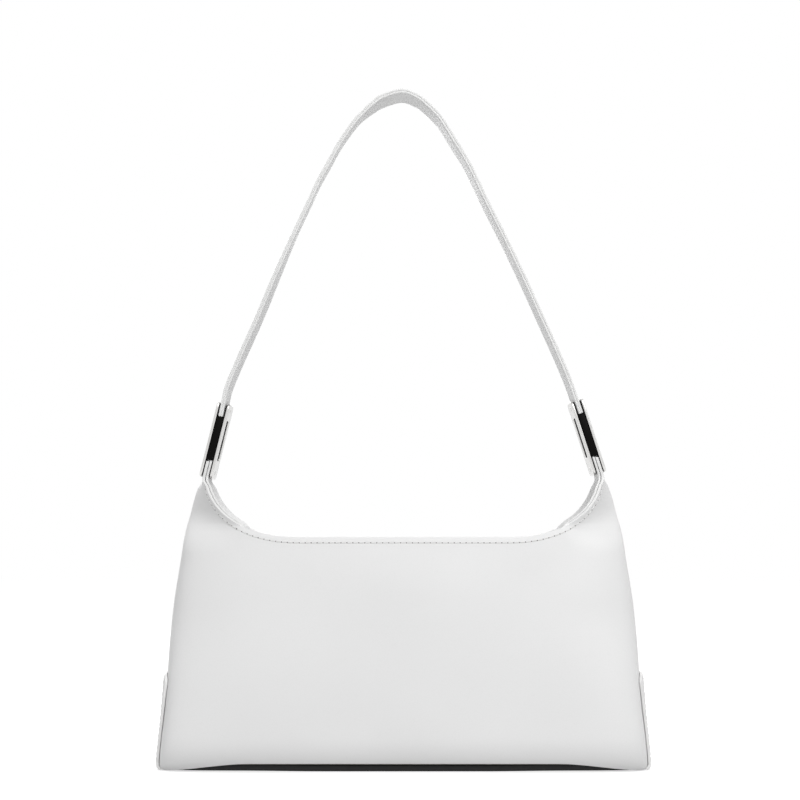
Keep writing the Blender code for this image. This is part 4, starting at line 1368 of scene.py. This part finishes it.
class BAG_OT_zip(Operator):
    """Makes the recessed zip: tapes, two rows of teeth on cords, end tabs, stop, slider and puller"""
    bl_idname = "bag.zip"
    bl_label = "Zip"

    def execute(self, context):
        for name, side in FACES:
            self.make_tape(name, side)
            self.make_teeth(name, side)
        for name, side in SIDES:
            self.make_end_tab(name, side)
        self.make_stop()
        self.make_slider()
        self.make_puller()
        return {"FINISHED"}

    def make_tape(self, name, side):
        def place(u, v):
            x = (2 * u - 1) * ZIP_HALF_LENGTH
            y = TAPE_INNER + (zip_edge_y(x) - TAPE_INNER) * v
            sag = TAPE_SAG * math.sin(math.pi * v) * (1 + 0.4 * math.sin(70 * x))
            return Vector((x, side * y, ZIP_Z - sag))

        tape = walled_piece(
            name + "_zip_tape_weave", mapped_grid(80, 10, place), upwards, ("Zip tape weave",),
            TAPE_WALL * TAPE_WALL_SHARE, TAPE_ROUNDING)
        ride_as(tape, "bag", "zip_tape", name + "_zip_tape")

    def make_teeth(self, name, side):
        bm = bmesh.new()
        shift = TOOTH_PITCH / 2 if side > 0 else 0.0
        near, far = sorted((-side * TOOTH_INNER, side * TOOTH_OUTER))
        low_z, high_z = ZIP_MIDDLE_Z - TOOTH_SIZE, ZIP_MIDDLE_Z + TOOTH_SIZE
        for i in range(2 * int(2 * TEETH_HALF_LENGTH / TOOTH_PITCH)):
            x = -TEETH_HALF_LENGTH + shift + i * TOOTH_PITCH / 2
            add_box(bm, (x, near, low_z), (x + TOOTH_SIZE, far, high_z))
        bmesh.ops.bevel(
            bm, geom=bm.edges[:], offset=TOOTH_ROUNDING, segments=2, profile=0.5, affect="EDGES",
            material=-1)
        lying = Matrix.Rotation(QUARTER_TURN, 4, "Y")
        cord = Matrix.Translation((0, side * TOOTH_OUTER, ZIP_MIDDLE_Z)) @ lying
        add_rod(bm, TEETH_CORD_RADIUS, 2 * TEETH_HALF_LENGTH, 12, cord)
        teeth = add_piece(name + "_zip_teeth_steel", bm, ("Polished steel",))
        ride_as(teeth, "bag", "polished_steel", name + "_zip_teeth")

    def make_end_tab(self, name, side):
        def place(u, v):
            x = ZIP_HALF_LENGTH + FIT_GAP + END_TAB_LENGTH * u
            return Vector((side * x, (2 * v - 1) * zip_edge_y(x), ZIP_Z))

        tab = walled_piece(
            name + "_zip_end_tab_leather", mapped_grid(8, 12, place), upwards, INNER_AND_EDGE,
            END_TAB_WALL, END_TAB_ROUNDING)
        ride_as(tab, "bag", "inner_leather", name + "_zip_end_tab")

    def make_stop(self):
        bm = bmesh.new()
        low_x = -TEETH_HALF_LENGTH - FIT_GAP - STOP_LENGTH
        low_z = ZIP_Z + FIT_GAP
        add_box(
            bm, (low_x, -STOP_HALF_WIDTH, low_z),
            (low_x + STOP_LENGTH, STOP_HALF_WIDTH, low_z + SLIDER_PLATE))
        steel_piece("zip_stop", "bag", bm, STOP_ROUNDING, Matrix())

    def make_slider(self):
        bm = bmesh.new()
        low_mouth = ZIP_MIDDLE_Z - SLIDER_MOUTH / 2
        top = ZIP_MIDDLE_Z + SLIDER_MOUTH / 2
        roof = top + SLIDER_PLATE
        half = SLIDER_LENGTH / 2
        for low, high in ((top, roof), (low_mouth - SLIDER_PLATE, low_mouth)):
            add_plate(
                bm, (-SLIDER_HALF_WIDTH, -half, low), (SLIDER_HALF_WIDTH, half, high), -half,
                SLIDER_CORNER)
        sink = SLIDER_PLATE / 2
        add_box(
            bm, (half - POST_NEAR, -POST_HALF_WIDTH, low_mouth - sink),
            (half - POST_FAR, POST_HALF_WIDTH, top + sink))
        for side in (-1, 1):
            near, far = sorted((side * BAIL_HALF_SPAN, side * (BAIL_HALF_SPAN - BAIL_WALL)))
            add_box(bm, (-BAIL_LENGTH / 2, near, roof - sink), (BAIL_LENGTH / 2, far, roof + BAIL_HEIGHT))
        pin = Matrix.Translation((0, 0, PIN_Z)) @ Matrix.Rotation(QUARTER_TURN, 4, "X")
        add_rod(bm, PIN_RADIUS, 2 * BAIL_HALF_SPAN, 16, pin)
        place = Matrix.Translation((SLIDER_REST_X, 0, 0))
        steel_piece("zip_slider", "slider", bm, SLIDER_ROUNDING, place)

    def make_puller(self):
        bm = bmesh.new()
        add_plate(
            bm, (-PULLER_HALF_WIDTH, PULLER_FROM, -PULLER_WALL / 2),
            (PULLER_HALF_WIDTH, PULLER_LENGTH, PULLER_WALL / 2), PULLER_LENGTH, PULLER_CORNER)
        ring = bmesh.new()
        for radius in (PULLER_KNUCKLE, PULLER_EYE):
            bmesh.ops.create_circle(ring, segments=24, radius=radius)
        bmesh.ops.bridge_loops(ring, edges=ring.edges[:])
        thicken(ring, 2 * PULLER_HALF_WIDTH)
        bmesh.ops.translate(ring, verts=ring.verts[:], vec=(0, 0, -PULLER_HALF_WIDTH))
        bmesh.ops.rotate(ring, verts=ring.verts[:], matrix=Matrix.Rotation(QUARTER_TURN, 3, "X"))
        take_in(bm, ring)
        place = Matrix.Translation((SLIDER_REST_X, 0, PIN_Z))
        steel_piece("zip_puller", "puller", bm, PULLER_ROUNDING, place)


class BAG_OT_boards(Operator):
    """Gives the hidden stiffeners and the base board their fibre board finish"""
    bl_idname = "bag.boards"
    bl_label = "Stiffening Boards"

    def execute(self, context):
        for node in ("base_board", "front_stiffener", "back_stiffener"):
            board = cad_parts[node]
            board.data.materials.clear()
            board.data.materials.append(bpy.data.materials["Fibre board"])
        return {"FINISHED"}


CAMERA_DISTANCE = 0.88
CAMERA_Z = 0.1209
CAMERA_LENS = 69.66
SENSOR_WIDTH = 36.0
CAMERA_SHIFT = (-0.0044, 0.19)
WHITE = (1.0, 1.0, 1.0)
FLOOR_HALF = 6.0
FLOOR_TONES = ((0.51, 0.51, 0.51), (0.53, 0.53, 0.53))
LAMPS_AIM = Vector((0.0, 0.0, 0.12))

# Each lamp's name, place, size and share of the key power
LAMPS = (
    ("Key", (0.45, -1.15, 1.15), 1.4, 1.0),
    ("Fill", (-1.2, -0.7, 0.7), 1.2, 0.04),
    ("Back", (-0.4, 1.2, 1.0), 1.4, 0.7),
)


def seen(mix):
    """1 for what the camera sees, straight or through gloss or glass."""
    rays = mix.tree.nodes.new("ShaderNodeLightPath")
    names = ("Is Camera Ray", "Is Glossy Ray", "Is Transmission Ray")
    camera, gloss, glass = (Wire(mix, rays.outputs[name]) for name in names)
    return (camera + gloss + glass).clamped()


class BAG_OT_stage(Operator):
    """Sets the camera, the white floor and surroundings, and the soft lamps"""
    bl_idname = "bag.stage"
    bl_label = "Stage"

    def execute(self, context):
        scene = context.scene
        scene.view_settings.view_transform = "Standard"
        camera = bpy.data.cameras.new("Camera")
        camera.lens = CAMERA_LENS
        camera.sensor_width = SENSOR_WIDTH
        camera.shift_x, camera.shift_y = CAMERA_SHIFT
        made = bpy.data.objects.new("Camera", camera)
        made.location = (0.0, -CAMERA_DISTANCE, CAMERA_Z)
        made.rotation_euler = (QUARTER_TURN, 0.0, 0.0)
        scene.collection.objects.link(made)
        scene.camera = made
        self.make_world(scene)
        self.make_floor(scene.bag_stage)
        self.make_lamps(scene)
        return {"FINISHED"}

    def make_world(self, scene):
        settings = scene.bag_stage
        scene.world = bpy.data.worlds.new("Studio")
        mix = Recipe("Studio", scene.world)
        white = seen(mix)
        way = mix.node("ShaderNodeTexCoord", {}, {}, "Generated")
        sideways = mix.node("ShaderNodeSeparateXYZ", {}, {0: way}, "X")
        even = settings.ambient - sideways * sideways * (settings.ambient * settings.side_flags)
        strength = white + even * (1 - white)
        light = mix.node("ShaderNodeBackground", {}, {"Color": WHITE, "Strength": strength})
        mix.node("ShaderNodeOutputWorld", {}, {"Surface": light})

    def make_floor(self, settings):
        bm = bmesh.new()
        bmesh.ops.create_grid(bm, x_segments=8, y_segments=8, size=FLOOR_HALF)
        floor = add_piece("floor", bm, ())
        mix = Recipe("White floor")
        strength = seen(mix) * settings.floor_white
        glow = mix.node("ShaderNodeEmission", {}, {"Color": WHITE, "Strength": strength})
        tone = mix.blend(mix.noise(3.0), *FLOOR_TONES)
        lit = mix.node("ShaderNodeBsdfDiffuse", {}, {"Color": tone})
        both = mix.node("ShaderNodeAddShader", {}, {0: glow, 1: lit})
        mix.node("ShaderNodeOutputMaterial", {}, {"Surface": both})
        floor.data.materials.append(mix.owner)

    def make_lamps(self, scene):
        for name, spot, size, share in LAMPS:
            lamp = bpy.data.lights.new(name, "AREA")
            lamp.size = size
            lamp.energy = scene.bag_stage.key_power * share
            made = bpy.data.objects.new(name, lamp)
            made.location = spot
            made.rotation_euler = (LAMPS_AIM - Vector(spot)).to_track_quat("-Z", "Y").to_euler()
            scene.collection.objects.link(made)


OPERATORS = (
    BAG_OT_panels, BAG_OT_facings, BAG_OT_mouth_stitching, BAG_OT_end_patches, BAG_OT_base, BAG_OT_strap,
    BAG_OT_links, BAG_OT_lining, BAG_OT_zip, BAG_OT_boards, BAG_OT_stage,
)
GROUPS = (("bag_shape", BagShape), ("bag_finish", BagFinish), ("bag_stage", BagStage))


class BAG_PT_sidebar(Panel):
    """Lists the bag's sizes and colours, and the operators that make its pieces"""
    bl_idname = "BAG_PT_sidebar"
    bl_label = "Scooped Shoulder Bag"
    bl_space_type = "VIEW_3D"
    bl_region_type = "UI"
    bl_category = "Bag"

    def draw(self, context):
        for name, group in GROUPS:
            box = self.layout.box()
            for key in group.__annotations__:
                box.prop(getattr(context.scene, name), key)
        for operator in OPERATORS:
            self.layout.operator(operator.bl_idname)


def register():
    for name, group in GROUPS:
        bpy.utils.register_class(group)
        setattr(bpy.types.Scene, name, PointerProperty(type=group))
    for operator in OPERATORS + (BAG_PT_sidebar,):
        bpy.utils.register_class(operator)


def unregister():
    for operator in OPERATORS + (BAG_PT_sidebar,):
        bpy.utils.unregister_class(operator)
    for name, group in GROUPS:
        delattr(bpy.types.Scene, name)
        bpy.utils.unregister_class(group)


def main():
    register()
    make_materials()
    for operator in OPERATORS:
        group, name = operator.bl_idname.split(".")
        getattr(getattr(bpy.ops, group), name)()


if __name__ == "__main__":
    main()
